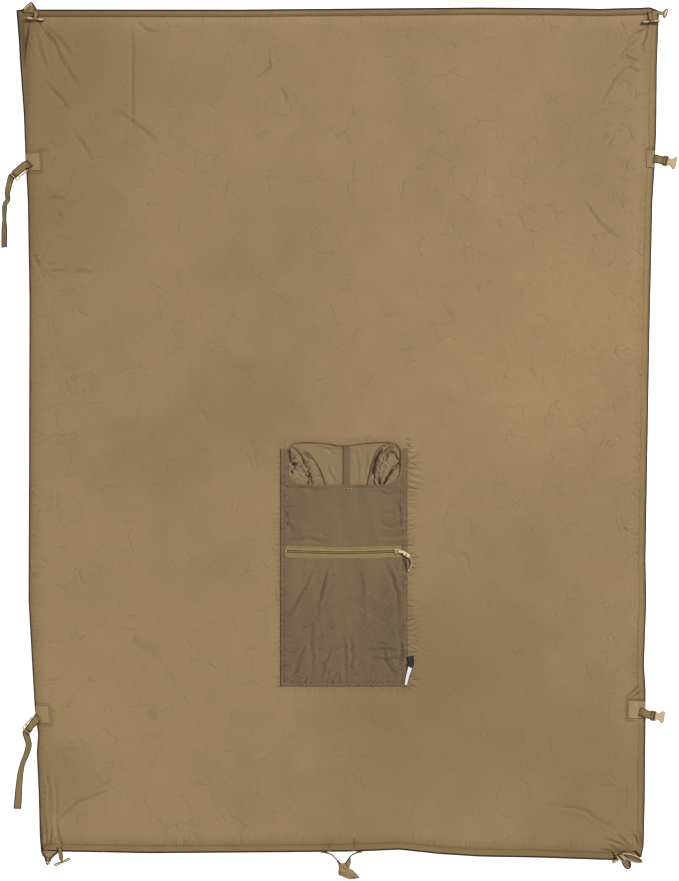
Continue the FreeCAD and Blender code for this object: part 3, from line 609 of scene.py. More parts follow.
def web_between(name, first, second, height, paint, bulge, bands=0.0, slant=0.0):
    """A small cloth between two chains of points, full in its middle, with painted shade at its
    rims and in the hollows of its folds.
    bands is how deep its slanting folds are, in millimetres, and slant is their angle."""
    share = np.linspace(0, 1, 18)
    one, two = evenly(first, 40), evenly(second, 40)
    x, y = [one[:, axis, None] * (1 - share) + two[:, axis, None] * share for axis in (0, 1)]
    across = np.minimum(share, 1 - share) * np.hypot(*(two - one).T)[:, None]
    turn = math.radians(slant)
    along = y * math.cos(turn) - x * math.sin(turn) + 4 * lumps(x, y, 11, 141)
    fold = np.sin(along * math.tau / 10) * (0.7 + 0.5 * lumps(x, y, 8, 142))
    z = height + bulge * (1 - np.exp(-across / 1.5)) + bands * fold
    end = np.linalg.norm((one + two) / 2 - (one[-1] + two[-1]) / 2, axis=1)[:, None] + 0 * x
    shade = np.exp(-((np.minimum(across, end) / 2.0) ** 2))
    shade = np.maximum(shade, min(1.4 * bands, 0.9) * fade(-fold, 0.2, 1.0))
    web = make_cloth(name, [(x, y, z)], paint, 0.5, marks={"shade": np.clip(shade, 0, 1)})
    return web


def placed(obj, body, slot, *nodes):
    """Puts a finished piece on its body and hides the CAD nodes it stands for; its slot is not
    used.
    """
    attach(obj, body)
    if nodes:
        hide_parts(*nodes)
    return obj


STITCH_LIFT = 0.1


def stitched(name, line, paint="thread", stitch=3.2, gap=1.3, radius=0.28):
    """Separate stitches along a line on a surface, each a small ellipsoid dipping at its ends."""
    line = np.array(line, float)
    travel = distances(line)
    starts = np.arange(0, travel[-1] - stitch, stitch + gap)
    at = [np.stack([np.interp(starts + shift, travel, line[:, axis]) for axis in range(3)], 1)
          for shift in (0, stitch)]
    vertices, faces = [], []
    ring = round_section(1.0, 6)
    for start, end in zip(*at):
        along = (end - start) / np.linalg.norm(end - start)
        across = np.cross([0, 0, 1], along)
        normal = np.cross(along, across)
        first = len(vertices)
        for share, thick in ((0, 0.35), (0.25, 1.0), (0.75, 1.0), (1, 0.35)):
            rise = STITCH_LIFT if 0 < share < 1 else -radius
            centre = start + (end - start) * share + np.array([0, 0, rise])
            for a, b in ring:
                vertices.append(centre + (across * a + normal * b) * radius * thick)
        for level in range(3):
            for corner in range(6):
                following = (corner + 1) % 6
                here = first + level * 6
                faces.append([here + corner, here + following,
                              here + following + 6, here + corner + 6])
    return make_piece(name, vertices, faces, paint)


# ---------------------------------------------------------------- the blanket's outline

# how far the cloth's edge bows out from the straight CAD edge, by place along it
SWAY = {
    "left": [(-947, 0), (-918, 2), (-818, 2), (-718, 4), (-677, 0), (-617, 6), (-532, 9),
             (-368, 14), (-60, 5), (323, -6), (554, -8), (660, -5), (753, -4), (877, 2), (930, 3.5),
             (993, 7)],
    "right": [(-961, 4), (-935, 9), (-829, 9), (-668, 7), (-575, 5), (-516, 0), (-368, 2),
              (-276, -2), (254, -5), (554, -5), (623, -2), (715, 0), (865, -2), (999, 0)],
    "top": [(-738, 0), (-485, -1), (-231, -2), (322, 1), (506, -1), (599, -3), (691, -1),
            (716, 0), (738, -9)],
    "bottom": [(-688, 0), (-535, 1), (-439, 2), (-323, 0), (-93, -4), (45, -7), (138, -12),
               (230, -3), (322, 2), (460, 3), (626, 7), (692, 1)],
}
HEM = 18
# how deep the hem's rolled edge is, which stays the same where the hem narrows
ROLL = 3.3
# how wide the left hem shows, by place along it: it is mostly turned under, but not at the top
LEFT_HEM = [(-947, 4), (700, 4), (780, 8), (865, 15), (994, 33)]
# the blanket makes about two thirds of its rise within this distance of the hem's seam
RIM = 10.92
HEM_TOP = span("hem_top")[2][1]
FACE_TOP = span("face_shell")[2][1]
POUCH = span("pouch_lower_panel")
UPPER_POUCH = span("pouch_upper_panel")
NECK = span("neck_edge_binding")
NECK_SHOULDER = -3.0


def blanket_corners():
    """The four corners of the CAD outline, by name."""
    points = [(v.co.x / MM, v.co.y / MM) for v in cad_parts["back_shell"].data.vertices]
    return {
        "top_left": min(points, key=lambda p: p[0] - p[1]),
        "top_right": max(points, key=lambda p: p[0] + p[1]),
        "bottom_left": min(points, key=lambda p: p[0] + p[1]),
        "bottom_right": max(points, key=lambda p: p[0] - p[1]),
    }


CORNER = blanket_corners()
SIDES = {
    "left": (CORNER["bottom_left"], CORNER["top_left"], -1),
    "right": (CORNER["bottom_right"], CORNER["top_right"], 1),
    "bottom": (CORNER["bottom_left"], CORNER["bottom_right"], -1),
    "top": (CORNER["top_left"], CORNER["top_right"], 1),
}


def edge(side, station):
    """Where an edge is, across the blanket, at a station along it."""
    start, end, outward = SIDES[side]
    along = 1 if side in ("left", "right") else 0
    straight = np.interp(station, [start[along], end[along]], [start[1 - along], end[1 - along]])
    stations, sways = zip(*SWAY[side])
    return straight + outward * np.interp(station, stations, sways)


def hem_width(side, station):
    """How wide the border is at a station along its edge."""
    if side == "left":
        stations, widths = zip(*LEFT_HEM)
        return np.interp(station, stations, widths)
    return np.full(np.shape(station), float(HEM))


def from_seam(x, y):
    """Distances inwards from the hem seams of the four edges."""
    return {
        "left": x - edge("left", y) - hem_width("left", y),
        "right": edge("right", y) - x - HEM,
        "bottom": y - edge("bottom", x) - HEM,
        "top": edge("top", x) - y - HEM,
    }


def from_rim(x, y):
    """Distance inwards from the nearest hem seam."""
    return np.minimum.reduce(list(from_seam(x, y).values()))


# long creases that the blanket is packed and handled into: chains of points
CREASES = [
    [(-652, 905), (-629, 865), (-597, 810)],
    [(-684, 958), (-640, 922), (-612, 880)],
    [(-677, 827), (-648, 795), (-619, 760)],
    [(-614, 717), (-590, 684), (-567, 645)],
    [(-700, 955), (-688, 900), (-672, 850)],
    [(-484, 960), (-474, 920), (-476, 800), (-474, 705)],
    [(-464, 965), (-440, 945), (-412, 940)],
    [(-164, 900), (-160, 860), (-194, 830)],
    [(-134, 815), (-126, 795), (-119, 775)],
    [(-522, 765), (-474, 735), (-414, 685)],
    [(-674, 557), (-650, 560), (-630, 558)],
    [(-709, 430), (-690, 405), (-669, 380)],
    [(-705, 425), (-694, 400), (-676, 372)],
    [(-684, 390), (-620, 392), (-564, 388)],
    [(688, 880), (640, 840), (600, 770)],
    [(700, 930), (662, 905), (640, 880)],
    [(560, 560), (600, 500), (640, 470)],
    [(-660, -880), (-600, -830), (-520, -800)],
    [(-672, -905), (-668, -820), (-676, -740)],
    [(-655, -905), (-650, -830), (-660, -760)],
    [(640, -900), (560, -850), (470, -835)],
]


# short creases where a corner's loop or toggle pulls the cloth; they run over the hem as well
CORNER_CREASES = [
    [(711, 960), (706, 928), (698, 911), (700, 893)], [(656, 886), (691, 874)],
    [(665, 863), (693, 849)], [(722, 968), (700, 946), (672, 934)],
    [(-650, -880), (-645, -915), (-633, -948)], [(-678, -856), (-675, -900), (-672, -944)],
    [(-662, -880), (-664, -915), (-668, -946)], [(-686, -880), (-686, -940)],
    [(616, -929), (637, -939), (648, -946)], [(612, -915), (640, -925), (668, -940)],
    [(640, -905), (655, -920), (676, -938)], [(672, -900), (684, -916), (692, -936)],
    [(690, -896), (694, -916), (697, -940)], [(598, -940), (620, -944), (640, -950)],
    [(-694, 956), (-672, 943), (-657, 923), (-649, 904), (-640, 878), (-628, 850)],
    [(-684, 948), (-668, 930), (-660, 914)], [(-700, 985), (-690, 962), (-684, 948)],
    [(-20, -925), (-24, -934), (-26, -944)], [(34, -915), (33, -928), (35, -942)],
    [(692, -560), (677, -576), (656, -594)], [(698, -573), (682, -586), (664, -598)],
    [(656, -597), (680, -598), (702, -599)], [(-668, 668), (-684, 671), (-700, 668)],
]


# short creases by chance: how many, over which area, their length, width and height, and a seed
SHORT_CREASES = [
    (300, (-690, 690, -930, 970), 80, 4.0, 0.3, 21),
    (80, (-700, -590, -930, 970), 56, 3.4, 0.7, 22),
    (110, (610, 705, -930, 970), 40, 2.8, 0.8, 23),
]
# how far the puckers at each hem run in
PUCKER_REACH = {"left": 18, "right": 26, "bottom": 26, "top": 22}


def face_height(x, y):
    """Height of the face cloth: a puffed rim, soft hollows, creases, and puckered seams."""
    seams = from_seam(x, y)
    inside = from_rim(x, y)
    puff = 1 - np.exp(-np.maximum(inside, 0) / RIM)
    low = HEM_TOP - 0.6 + 4.0 * np.exp(-((seams["right"] / 12) ** 2))
    z = low + (FACE_TOP - low) * puff
    open_cloth = fade(inside, 8, 60)
    clear_of_pouch = fade(pouch_distance(x, y), 10, 70)
    z += 1.5 * open_cloth * clear_of_pouch * lumps(x, y, 210, 11)
    z += 0.5 * open_cloth * clear_of_pouch * lumps(x, y * 0.8, 80, 12)
    z += 0.1 * open_cloth * lumps(x, y * 0.8, 17, 13)
    for crease in CREASES:
        add_fold(x, y, z, crease, 4.0, 1.0)
    for crease in CORNER_CREASES:
        add_fold(x, y, z, crease, 2.4, 0.9)
    for creases in SHORT_CREASES:
        scatter_folds(x, y, z, *creases)
    for place, (side, away) in enumerate(seams.items()):
        along = y if side in ("left", "right") else x
        add_puckers(z, along, np.maximum(away, 0), 15, PUCKER_REACH[side], 0.7, 40 + place)
    add_pouch_puckers(x, y, z)
    cover = near_patch(x, y)
    return z * (1 - cover) + rim_height(x, y) * cover


def pouch_distance(x, y):
    """Distance outwards from the pouch and neck rectangle, 0 inside it."""
    off_x = np.maximum(np.maximum(POUCH[0][0] - x, x - POUCH[0][1]), 0)
    off_y = np.maximum(np.maximum(POUCH[1][0] - y, y - NECK[1][1]), 0)
    return np.hypot(off_x, off_y)


def add_pouch_puckers(x, y, z):
    """Gathers round the sewn edge of the pouch, strongest on its right and at its foot."""
    left, right = POUCH[0]
    foot, top = POUCH[1][0], NECK[1][1]
    upright = fade(y, foot - 12, foot + 4) * fade(-y, -top - 4, -top + 25)
    level = fade(x, left - 8, left + 4) * fade(-x, -right - 8, -right + 4)
    seams = [
        (y, x - right, 13, 30, 2.8, 61, upright),
        (y, left - x, 11, 15, 1.5, 62, upright),
        (x, foot - y, 12, 18, 1.5, 63, level),
    ]
    for along, away, spacing, reach, height, seed, where in seams:
        puckers = np.zeros(z.shape)
        add_puckers(puckers, along, np.maximum(away, 0), spacing, reach, height, seed)
        z += puckers * where * (away > 0)


def neck_edge(x):
    """The opening's upper edge: rounded at both shoulders, with a dip in the middle."""
    left, right = NECK[0]
    middle = (left + right) / 2
    dip = NECK[1][0] - NECK_SHOULDER
    shoulder = 20 * np.exp(-(x - left) / 8) + 20 * np.exp(-(right - x) / 8)
    return NECK_SHOULDER + dip * np.exp(-(((x - middle) / 42) ** 2)) - shoulder


def spaced(*stops):
    """Grid lines through stops, each stop followed by the pitch up to the next one."""
    lines = []
    for start, pitch, end in zip(stops[::2], stops[1::2], stops[2::2]):
        lines.append(np.linspace(start, end, max(2, round((end - start) / pitch)) + 1)[:-1])
    return np.concatenate(lines + [[stops[-1]]])


def make_face():
    """The face cloth over the whole blanket, with the neck opening cut in it."""
    left, right = NECK[0]
    top = NECK_SHOULDER
    columns = spaced(-720, 3, -650, 4.4, POUCH[0][0] - 40, 2.6, POUCH[0][0], 4.5, left, 4.5,
                     right, 4.5, POUCH[0][1], 2.4, POUCH[0][1] + 50, 4.4, 640, 2.6, 720)
    rows = spaced(-950, 3, -890, 4.4, POUCH[1][0] - 40, 2.6, POUCH[1][0], 2.8, -120, 2.8, top,
                  3.2, top + 40, 4.4, 900, 3, 980)
    grid_x, grid_y = np.meshgrid(columns, rows)
    x, y = grid_x.copy(), grid_y.copy()
    for _ in range(3):
        low_x = edge("left", y) + hem_width("left", y)
        high_x = edge("right", y) - HEM
        x = np.where(grid_x < -200, -200 + (grid_x + 200) / 520 * (-200 - low_x), grid_x)
        x = np.where(grid_x > 230, 230 + (grid_x - 230) / 490 * (high_x - 230), x)
        low_y, high_y = edge("bottom", x) + HEM, edge("top", x) - HEM
        y = np.where(grid_y < -620, -620 + (grid_y + 620) / 330 * (-620 - low_y), grid_y)
        y = np.where(grid_y > 60, 60 + (grid_y - 60) / 920 * (high_y - 60), y)
    in_neck = (grid_x >= left) & (grid_x <= right)
    bend = np.where(in_neck, neck_edge(np.clip(grid_x, left, right)) - top, 0)
    y += bend * np.exp(-((np.maximum(grid_y - top, 0) / 16) ** 2)) * (grid_y > top - 1)
    z = face_height(x, y)
    hidden = (x > POUCH[0][0] + 3) & (x < POUCH[0][1] - 3) & (y > POUCH[1][0] + 3)
    z = np.where(hidden & (y < UPPER_POUCH[1][1] - 6), FACE_TOP - 1.6, z)
    near_neck = np.exp(-((np.maximum(y - neck_edge(np.clip(x, left, right)), 0) / 9) ** 2))
    z -= 0.6 * near_neck * in_neck * (grid_y > top - 1)
    middle_x = (grid_x[:-1, :-1] + grid_x[1:, 1:]) / 2
    middle_y = (grid_y[:-1, :-1] + grid_y[1:, 1:]) / 2
    cut = (middle_x > left) & (middle_x < right) & (middle_y < top) & (middle_y > -120)
    shade = 0.45 * in_hollows(z, 1.4) * fade(from_rim(x, y), 5, 16)
    cover = near_patch(x, y)
    shade = np.maximum(shade + 1.4 * cover * (1 - cover), along_creases(x, y))
    marks = {"tone": broad_tone(x, y), "shade": shade}
    marks["gather_x"], marks["gather_y"] = gathered(x, y)
    face = make_cloth("face_cloth", [(x, y, z, ~cut)], "shell_cloth", thickness=0, marks=marks)
    placed(face, "blanket", "shell_cloth", "face_shell")


# broad darker (-) and lighter (+) areas of the face cloth: centre x, y, radius, strength
TONES = [
    (-680, 900, 230, -1.3), (-690, 500, 150, -0.9), (-60, 420, 170, -0.25), (-200, 80, 170, -0.45),
    (330, 260, 300, 0.45), (600, 330, 170, 0.75), (500, 40, 150, 0.5), (180, -540, 200, -0.7),
    (420, -420, 190, -0.4), (120, -760, 240, -0.6), (460, -720, 170, -0.5), (640, -860, 190, -0.9),
    (-640, -760, 120, -0.6), (-480, -560, 200, 0.2), (-560, 60, 260, -0.4), (250, 850, 260, 0.2),
    (380, 780, 160, 0.25),
]


def broad_tone(x, y):
    """Tones of the face cloth, from -1 to 1, with soft lumps between the broad areas."""
    tone = 0.1 + 0.22 * lumps(x, y, 150, 31) + 0.2 * lumps(x, y, 48, 32)
    for centre_x, centre_y, radius, strength in TONES:
        tone += strength * np.exp(-(((x - centre_x) ** 2 + (y - centre_y) ** 2) / radius**2))
    # painted shade on the face cloth just beside the pouch's edge
    tone -= 0.35 * np.exp(-((pouch_distance(x, y) / 6) ** 2))
    return np.clip(tone, -1, 1)


def along_creases(x, y):
    """Shade in the corner creases, lost towards both ends of each."""
    shade = np.zeros(x.shape)
    for crease in CORNER_CREASES:
        signed, share = beside(x, y, crease)
        line = 0.45 * np.exp(-((signed / 2.4) ** 2)) * np.sin(math.pi * share) ** 0.5
        shade = np.maximum(shade, line)
    return shade


def in_hollows(z, depth):
    """1 in narrow hollows of a grid of heights at least this deep, 0 on even cloth."""
    padded = np.pad(z, 2, mode="edge")
    rows, columns = z.shape
    around = sum(padded[2 + dy:2 + dy + rows, 2 + dx:2 + dx + columns]
                 for dx, dy in ((-2, 0), (2, 0), (0, -2), (0, 2), (-1, -1), (1, 1), (-1, 1),
                                (1, -1))) / 8
    return np.clip((around - z) / depth, 0, 1)


def gathered(x, y):
    """Where fine puckers run across (along x) and up (along y): at the seams."""
    foot, top = POUCH[1][0], NECK[1][1]
    right_of = np.maximum(x - POUCH[0][1], 0)
    left_of = np.maximum(POUCH[0][0] - x, 0)
    below = np.maximum(foot - y, 0)
    above = np.maximum(y - top, 0)
    beside = (y > foot - 4) & (y < top + 4)
    uneven = 0.6 + 0.8 * lumps(x, y, 34, 33)
    across = 1.2 * np.exp(-((right_of / 26) ** 2)) * (x > POUCH[0][1] - 2) * beside
    across += 0.8 * np.exp(-((left_of / 13) ** 2)) * (x < POUCH[0][0] + 2) * beside
    upwards = 0.8 * np.exp(-((below / 13) ** 2)) * (y < foot + 2)
    upwards += 0.4 * np.exp(-((above / 10) ** 2)) * (y > top - 2)
    upwards *= (x > POUCH[0][0] - 6) & (x < POUCH[0][1] + 6)
    seams = from_seam(x, y)
    across += 0.5 * np.exp(-((seams["left"] / 22) ** 2))
    across += 0.35 * np.exp(-((seams["right"] / 24) ** 2))
    upwards += 0.4 * np.exp(-((seams["top"] / 18) ** 2))
    upwards += 0.5 * np.exp(-((seams["bottom"] / 24) ** 2))
    return np.clip(across * uneven, 0, 1), np.clip(upwards * uneven, 0, 1)


def make_filling():
    """The insulation under the face cloth, a thin loose batt."""
    left, right = NECK[0]
    columns = spaced(-690, 15, left - 6, 12, right + 6, 15, 680)
    rows = spaced(-925, 15, -120, 12, NECK_SHOULDER + 8, 15, 965)
    x, y = np.meshgrid(columns, rows)
    z = FACE_TOP - 4.2 + 0.5 * lumps(x, y, 60, 15)
    inside = from_rim(x, y)
    z = np.maximum(np.minimum(z, HEM_TOP - 2.2 + np.maximum(inside, 0) * 0.16), 1.1)
    middle_x, middle_y = (x[:-1, :-1] + x[1:, 1:]) / 2, (y[:-1, :-1] + y[1:, 1:]) / 2
    cut = (middle_x > left - 6) & (middle_x < right + 6)
    cut &= (middle_y < NECK_SHOULDER + 8) & (middle_y > -120)
    batt = make_cloth("insulation_fill", [(x, y, z, ~cut)], "insulation", thickness=0.25)
    placed(batt, "blanket", "insulation", "insulation_batt")


def make_back():
    """The back cloth, flat on the ground, just inside the edge."""
    shares = np.linspace(0, 1, 141)
    x = np.zeros((141, 141))
    y = np.zeros((141, 141))
    for _ in range(3):
        low_x, high_x = edge("left", y) + 0.6, edge("right", y) - 0.6
        x = low_x + shares[None, :] * (high_x - low_x)
        low_y, high_y = edge("bottom", x) + 0.6, edge("top", x) - 0.6
        y = low_y + shares[:, None] * (high_y - low_y)
    z = 0.55 + 0.2 * lumps(x, y, 30, 17)
    back = make_cloth("back_cloth", [(x, y, z)], "back_cloth", thickness=0.3)
    placed(back, "blanket", "shell_cloth", "back_shell")


# sections of a border from its outer edge to under the face cloth: depth inwards, height, shade
HEM_PROFILES = {
    "plain": [(0.9, 0.7, 1), (0.1, 1.0, 1), (0.0, 2.2, 1), (0.9, 3.1, 1), (3.3, 3.3, 1),
              (4.2, 3.2, 0.5), (5.2, 3.0, 0), (6.4, 3.0, 0), (8, 3.0, 0), (9.6, 3.05, 0),
              (11.2, 3.1, 0), (13, 3.2, 0), (14.7, 3.2, 0.03), (16.3, 3.15, 0.1),
              (17.6, 2.3, 0.5), (18.4, 1.6, 0.7), (18.4, 0.8, 0.7)],
    "top": [(0.9, 0.7, 1), (0.1, 1.0, 1), (0.0, 2.2, 1), (0.9, 3.1, 1), (3.3, 3.3, 1),
            (4.2, 3.2, 0.5), (5.2, 3.0, 0.15), (7.0, 3.0, 0.1), (9, 3.6, 0), (11, 3.6, 0),
            (12.5, 3.2, 0.25), (15, 3.2, 0.1), (17.6, 2.6, 0.45), (18.4, 1.6, 0.7),
            (18.4, 0.8, 0.7)],
    "right": [(0.9, 0.7, 1), (0.1, 1.0, 1), (0.0, 2.2, 1), (0.9, 3.1, 1), (2.6, 3.5, 0.95),
              (3.8, 3.8, 0.4), (5.5, 4.2, 0.05), (7.2, 4.6, 0), (9, 5.0, 0), (11, 5.5, 0),
              (13, 6.0, 0), (16, 6.6, 0), (18.4, 6.8, 0), (19.4, 6.4, 0), (19.4, 0.8, 0.2)],
}


# folds in the left hem near its top corner: a chain of points, shade and width
HEM_FOLDS = [
    ([(-735, 990), (-729, 930), (-726, 890), (-724, 860)], 0.5, 6),
    ([(-712, 972), (-717, 940), (-723, 905), (-727, 870)], 1.0, 2.6),
]


def make_hem(side):
    """One sewn border: a folded strip with a rolled edge, puckered along its seam."""
    start, end, outward = SIDES[side]
    upright = side in ("left", "right")
    along = 1 if upright else 0
    stations = np.arange(start[along], end[along], 4.0)
    across = HEM_PROFILES.get(side, HEM_PROFILES["plain"])
    vertices = []
    for depth, height, _ in across:
        spare = (hem_width(side, stations) - ROLL) / (HEM - ROLL)
        inwards = np.minimum(depth, ROLL) + max(depth - ROLL, 0) * spare
        low_end = start[along] + depth * 0.96
        high_end = end[along] - depth * 0.96
        place = low_end + (stations - stations[0]) / (stations[-1] - stations[0]) \
            * (high_end - low_end)
        offset = edge(side, place) - outward * inwards
        roll = 0.25 * lumps(place, depth * 3 + 0 * place, 14, 71) * (height > 2)
        wave = 0.5 * lumps(place, 0 * place, 60, 72) * (height > 2)
        z = height + roll + wave * 0.5
        if upright:
            cover = near_patch(offset, place)
            z = z * (1 - cover) + np.minimum(z, HEM_TOP - 0.1) * cover
            offset = np.where(place > 980, np.minimum(offset, CORNER["top_right"][0]), offset)
            place = np.minimum(place, edge("top", offset) - 0.96 * depth)
        x, y = (offset, place) if upright else (place, offset)
        vertices.append(np.stack([x, y, z], axis=1))
    count, rings = len(across), len(stations)
    stacked = np.stack(vertices, axis=1).reshape(-1, 3)
    shade = np.tile([shade for *_, shade in across], rings)
    x, y = stacked[:, 0], stacked[:, 1]
    for path, dark, width in HEM_FOLDS:
        signed, share = beside(x, y, path)
        line = dark * np.exp(-((signed / width) ** 2)) * np.sin(math.pi * share) ** 0.5
        shade = np.maximum(shade, line)
    marks = {"shade": np.maximum(shade, along_creases(x, y)), "tone": broad_tone(x, y)}
    faces = tube_sides(rings, count)
    faces.append(list(range(count)))
    faces.append([(rings - 1) * count + corner for corner in range(count)])
    strip = faced_outwards(make_piece(f"hem_strip_{side}", stacked, faces, "hem_cloth",
                                      marks=marks))
    placed(strip, "blanket", "hem_cloth", f"hem_{side}")
    width = max(10, float(np.mean(hem_width(side, stations))) * 1.3)
    if side == "right":
        return
    line = [(edge(side, s) - outward * (hem_width(side, s) - 2.6), s) for s in stations[4:-4]]
    points = [(x, y, HEM_TOP + 0.1) if upright else (y, x, HEM_TOP + 0.1) for x, y in line]
    placed(stitched(f"hem_stitches_{side}", points), "blanket", "thread")


# ---------------------------------------------------------------- patches on the side edges


# where a patch sits along its edge, and how far it reaches in from the edge
PATCHES = {
    "right_upper": (648.5, 20), "right_lower": (-620.5, 42),
    "left_upper": (641, 34), "left_lower": (-631.5, 32),
}
PATCH = 41


def edge_heading(side):
    """The direction out of the blanket at a side edge, in degrees."""
    start, end, _ = SIDES[side]
    return math.degrees(math.atan2(start[0] - end[0], end[1] - start[1]))


def rim_height(x, y):
    """The blanket's surface without its creases: the hem, then the puffed rim."""
    inside = from_rim(x, y)
    puff = 1 - np.exp(-np.maximum(inside, 0) / RIM)
    return np.maximum(HEM_TOP + (FACE_TOP - HEM_TOP) * puff, HEM_TOP)


def near_patch(x, y):
    """1 over a patch, falling to 0 a little outside it."""
    cover = np.zeros(np.shape(x))
    for name, (station, reach) in PATCHES.items():
        side = name.split("_")[0]
        outwards = {"left": -1, "right": 1}[side]
        depth = (edge(side, y) - x) * outwards
        cover = np.maximum(cover, (1 - fade(depth, reach, reach + 8))
                           * (1 - fade(np.abs(y - station), PATCH / 2, PATCH / 2 + 8)))
    return cover


def along_outline(corners, steps):
    """Points on the straight lines from corner to corner, so many steps to each line."""
    shares = np.linspace(0, 1, steps)[:-1]
    return [(a0 + (a1 - a0) * share, b0 + (b1 - b0) * share)
            for (a0, b0), (a1, b1) in zip(corners, corners[1:]) for share in shares]


def make_patch(name):
    """A square reinforcement over the hem, stitched round its border."""
    side = name.split("_")[0]
    station, reach = PATCHES[name]
    outwards = {"left": -1, "right": 1}[side]
    turn = math.radians(edge_heading(side))
    straight = float(edge(side, station))

    def to_blanket(depth, along):
        x = straight - outwards * depth * math.cos(turn) - along * math.sin(turn)
        y = station - outwards * depth * math.sin(turn) + along * math.cos(turn)
        return x, y

    def height(depth, along):
        x, y = to_blanket(depth, along)
        rim = np.minimum(np.minimum(depth - 1, reach - depth), PATCH / 2 - np.abs(along))
        pillow = 0.5 * (1 - np.exp(-np.maximum(rim, 0) / 1.1))
        seam = 0.35 * np.exp(-(((rim - 2.6) / 0.7) ** 2))
        return rim_height(x, y) + 0.75 + pillow - seam + 0.18 * lumps(x, y, 9, 81)

    depth, along = np.meshgrid(np.linspace(0.4, reach, 34), np.linspace(-PATCH / 2, PATCH / 2, 40))
    x, y = to_blanket(depth, along)
    rim = np.minimum(np.minimum(depth, reach - depth), PATCH / 2 - np.abs(along))
    patch = make_cloth(f"patch_cloth_{name}", [(x, y, height(depth, along))], "patch_cloth", 0.7,
                       marks={"shade": 0.75 * np.exp(-((rim / 1.1) ** 2))})
    placed(patch, "blanket", "patch_cloth", f"patch_{name}")
    near, far, half = 3.2, reach - 2.6, PATCH / 2 - 2.6
    corners = [(near, -half), (far, -half), (far, half), (near, half), (near, -half)]
    line = [(*to_blanket(a, b), float(height(np.array(a), np.array(b))))
            for a, b in along_outline(corners, 16)]
    placed(stitched(f"patch_stitches_{name}", line, "thread_light", 2.6, 1.0), "blanket",
           "thread")


# ---------------------------------------------------------------- neck opening and hood


def make_neck_binding():
    """The rolled edge of the face cloth along the top of the opening, turned down at both ends."""
    left, right = NECK[0]
    x = np.linspace(left + 0.6, right - 0.6, 90)
    y = neck_edge(x)
    z = np.full(x.shape, FACE_TOP - 0.6) + 0.25 * lumps(x, y, 16, 91)
    line = np.stack([x, y - 0.4, z], 1)
    ends = [np.array([[x[i], yy, FACE_TOP - 0.6] for yy in np.linspace(y[i] - 2, -60, 12)])
            for i in (0, -1)]
    line = np.vstack([ends[0][::-1], line, ends[1]])
    rolled = swept("neck_rolled_edge", line, rounded_band(1.8, 1.1), "hem_cloth",
                   side=(0, 0, 1), roll=78)
    placed(rolled, "blanket", "shell_cloth", "neck_edge_binding")


def make_hood():
    """The stowed hood in the opening: its back panel and the tape over its centre seam."""
    left, right = NECK[0]
    low = -120
    across, up = np.meshgrid(np.linspace(0, 1, 130), np.linspace(0, 1, 60))
    x = left + 0.5 + across * (right - left - 1)
    top = neck_edge(x) - 0.5
    y = low + up * (top - low)
    z = 2.6 + 2.2 * up**3 + 0.6 * lumps(x, y * 0.5, 24, 93) + 0.25 * lumps(x * 0.6, y, 9, 94)
    for crease in [[(70, -12), (62, -40), (58, -100)], [(-40, -10), (-20, -28), (0, -34)],
                   [(-60, -14), (-30, -20), (4, -22)], [(38, -20), (44, -60), (40, -104)],
                   [(-30, -60), (-16, -84), (-14, -106)], [(60, -104), (72, -60), (92, -30)]]:
        add_fold(x, y, z, crease, 4, 0.9)
    z = np.clip(z, 1.0, FACE_TOP - 1.2)
    panel = make_cloth("hood_panel", [(x, y, z)], "lining_cloth", 0.4)
    placed(panel, "blanket", "shell_cloth", "hood_back_panel")
    (tape_left, tape_right), _, _ = span("hood_seam_tape")
    across, up = np.meshgrid(np.linspace(0, 1, 8), np.linspace(0, 1, 40))
    x = tape_left - 1 + across * (tape_right - tape_left + 1)
    top = neck_edge(x) - 1
    y = low + up * (top - low)
    z = 3.7 + 2.2 * up**3 + 0.5 * lumps(x, y * 0.5, 24, 93) + 0.3 * np.sin(across * math.pi)
    tape = make_cloth("hood_tape", [(x, y, z)], "seam_tape", 0.4)
    placed(tape, "blanket", "zip_tape", "hood_seam_tape")


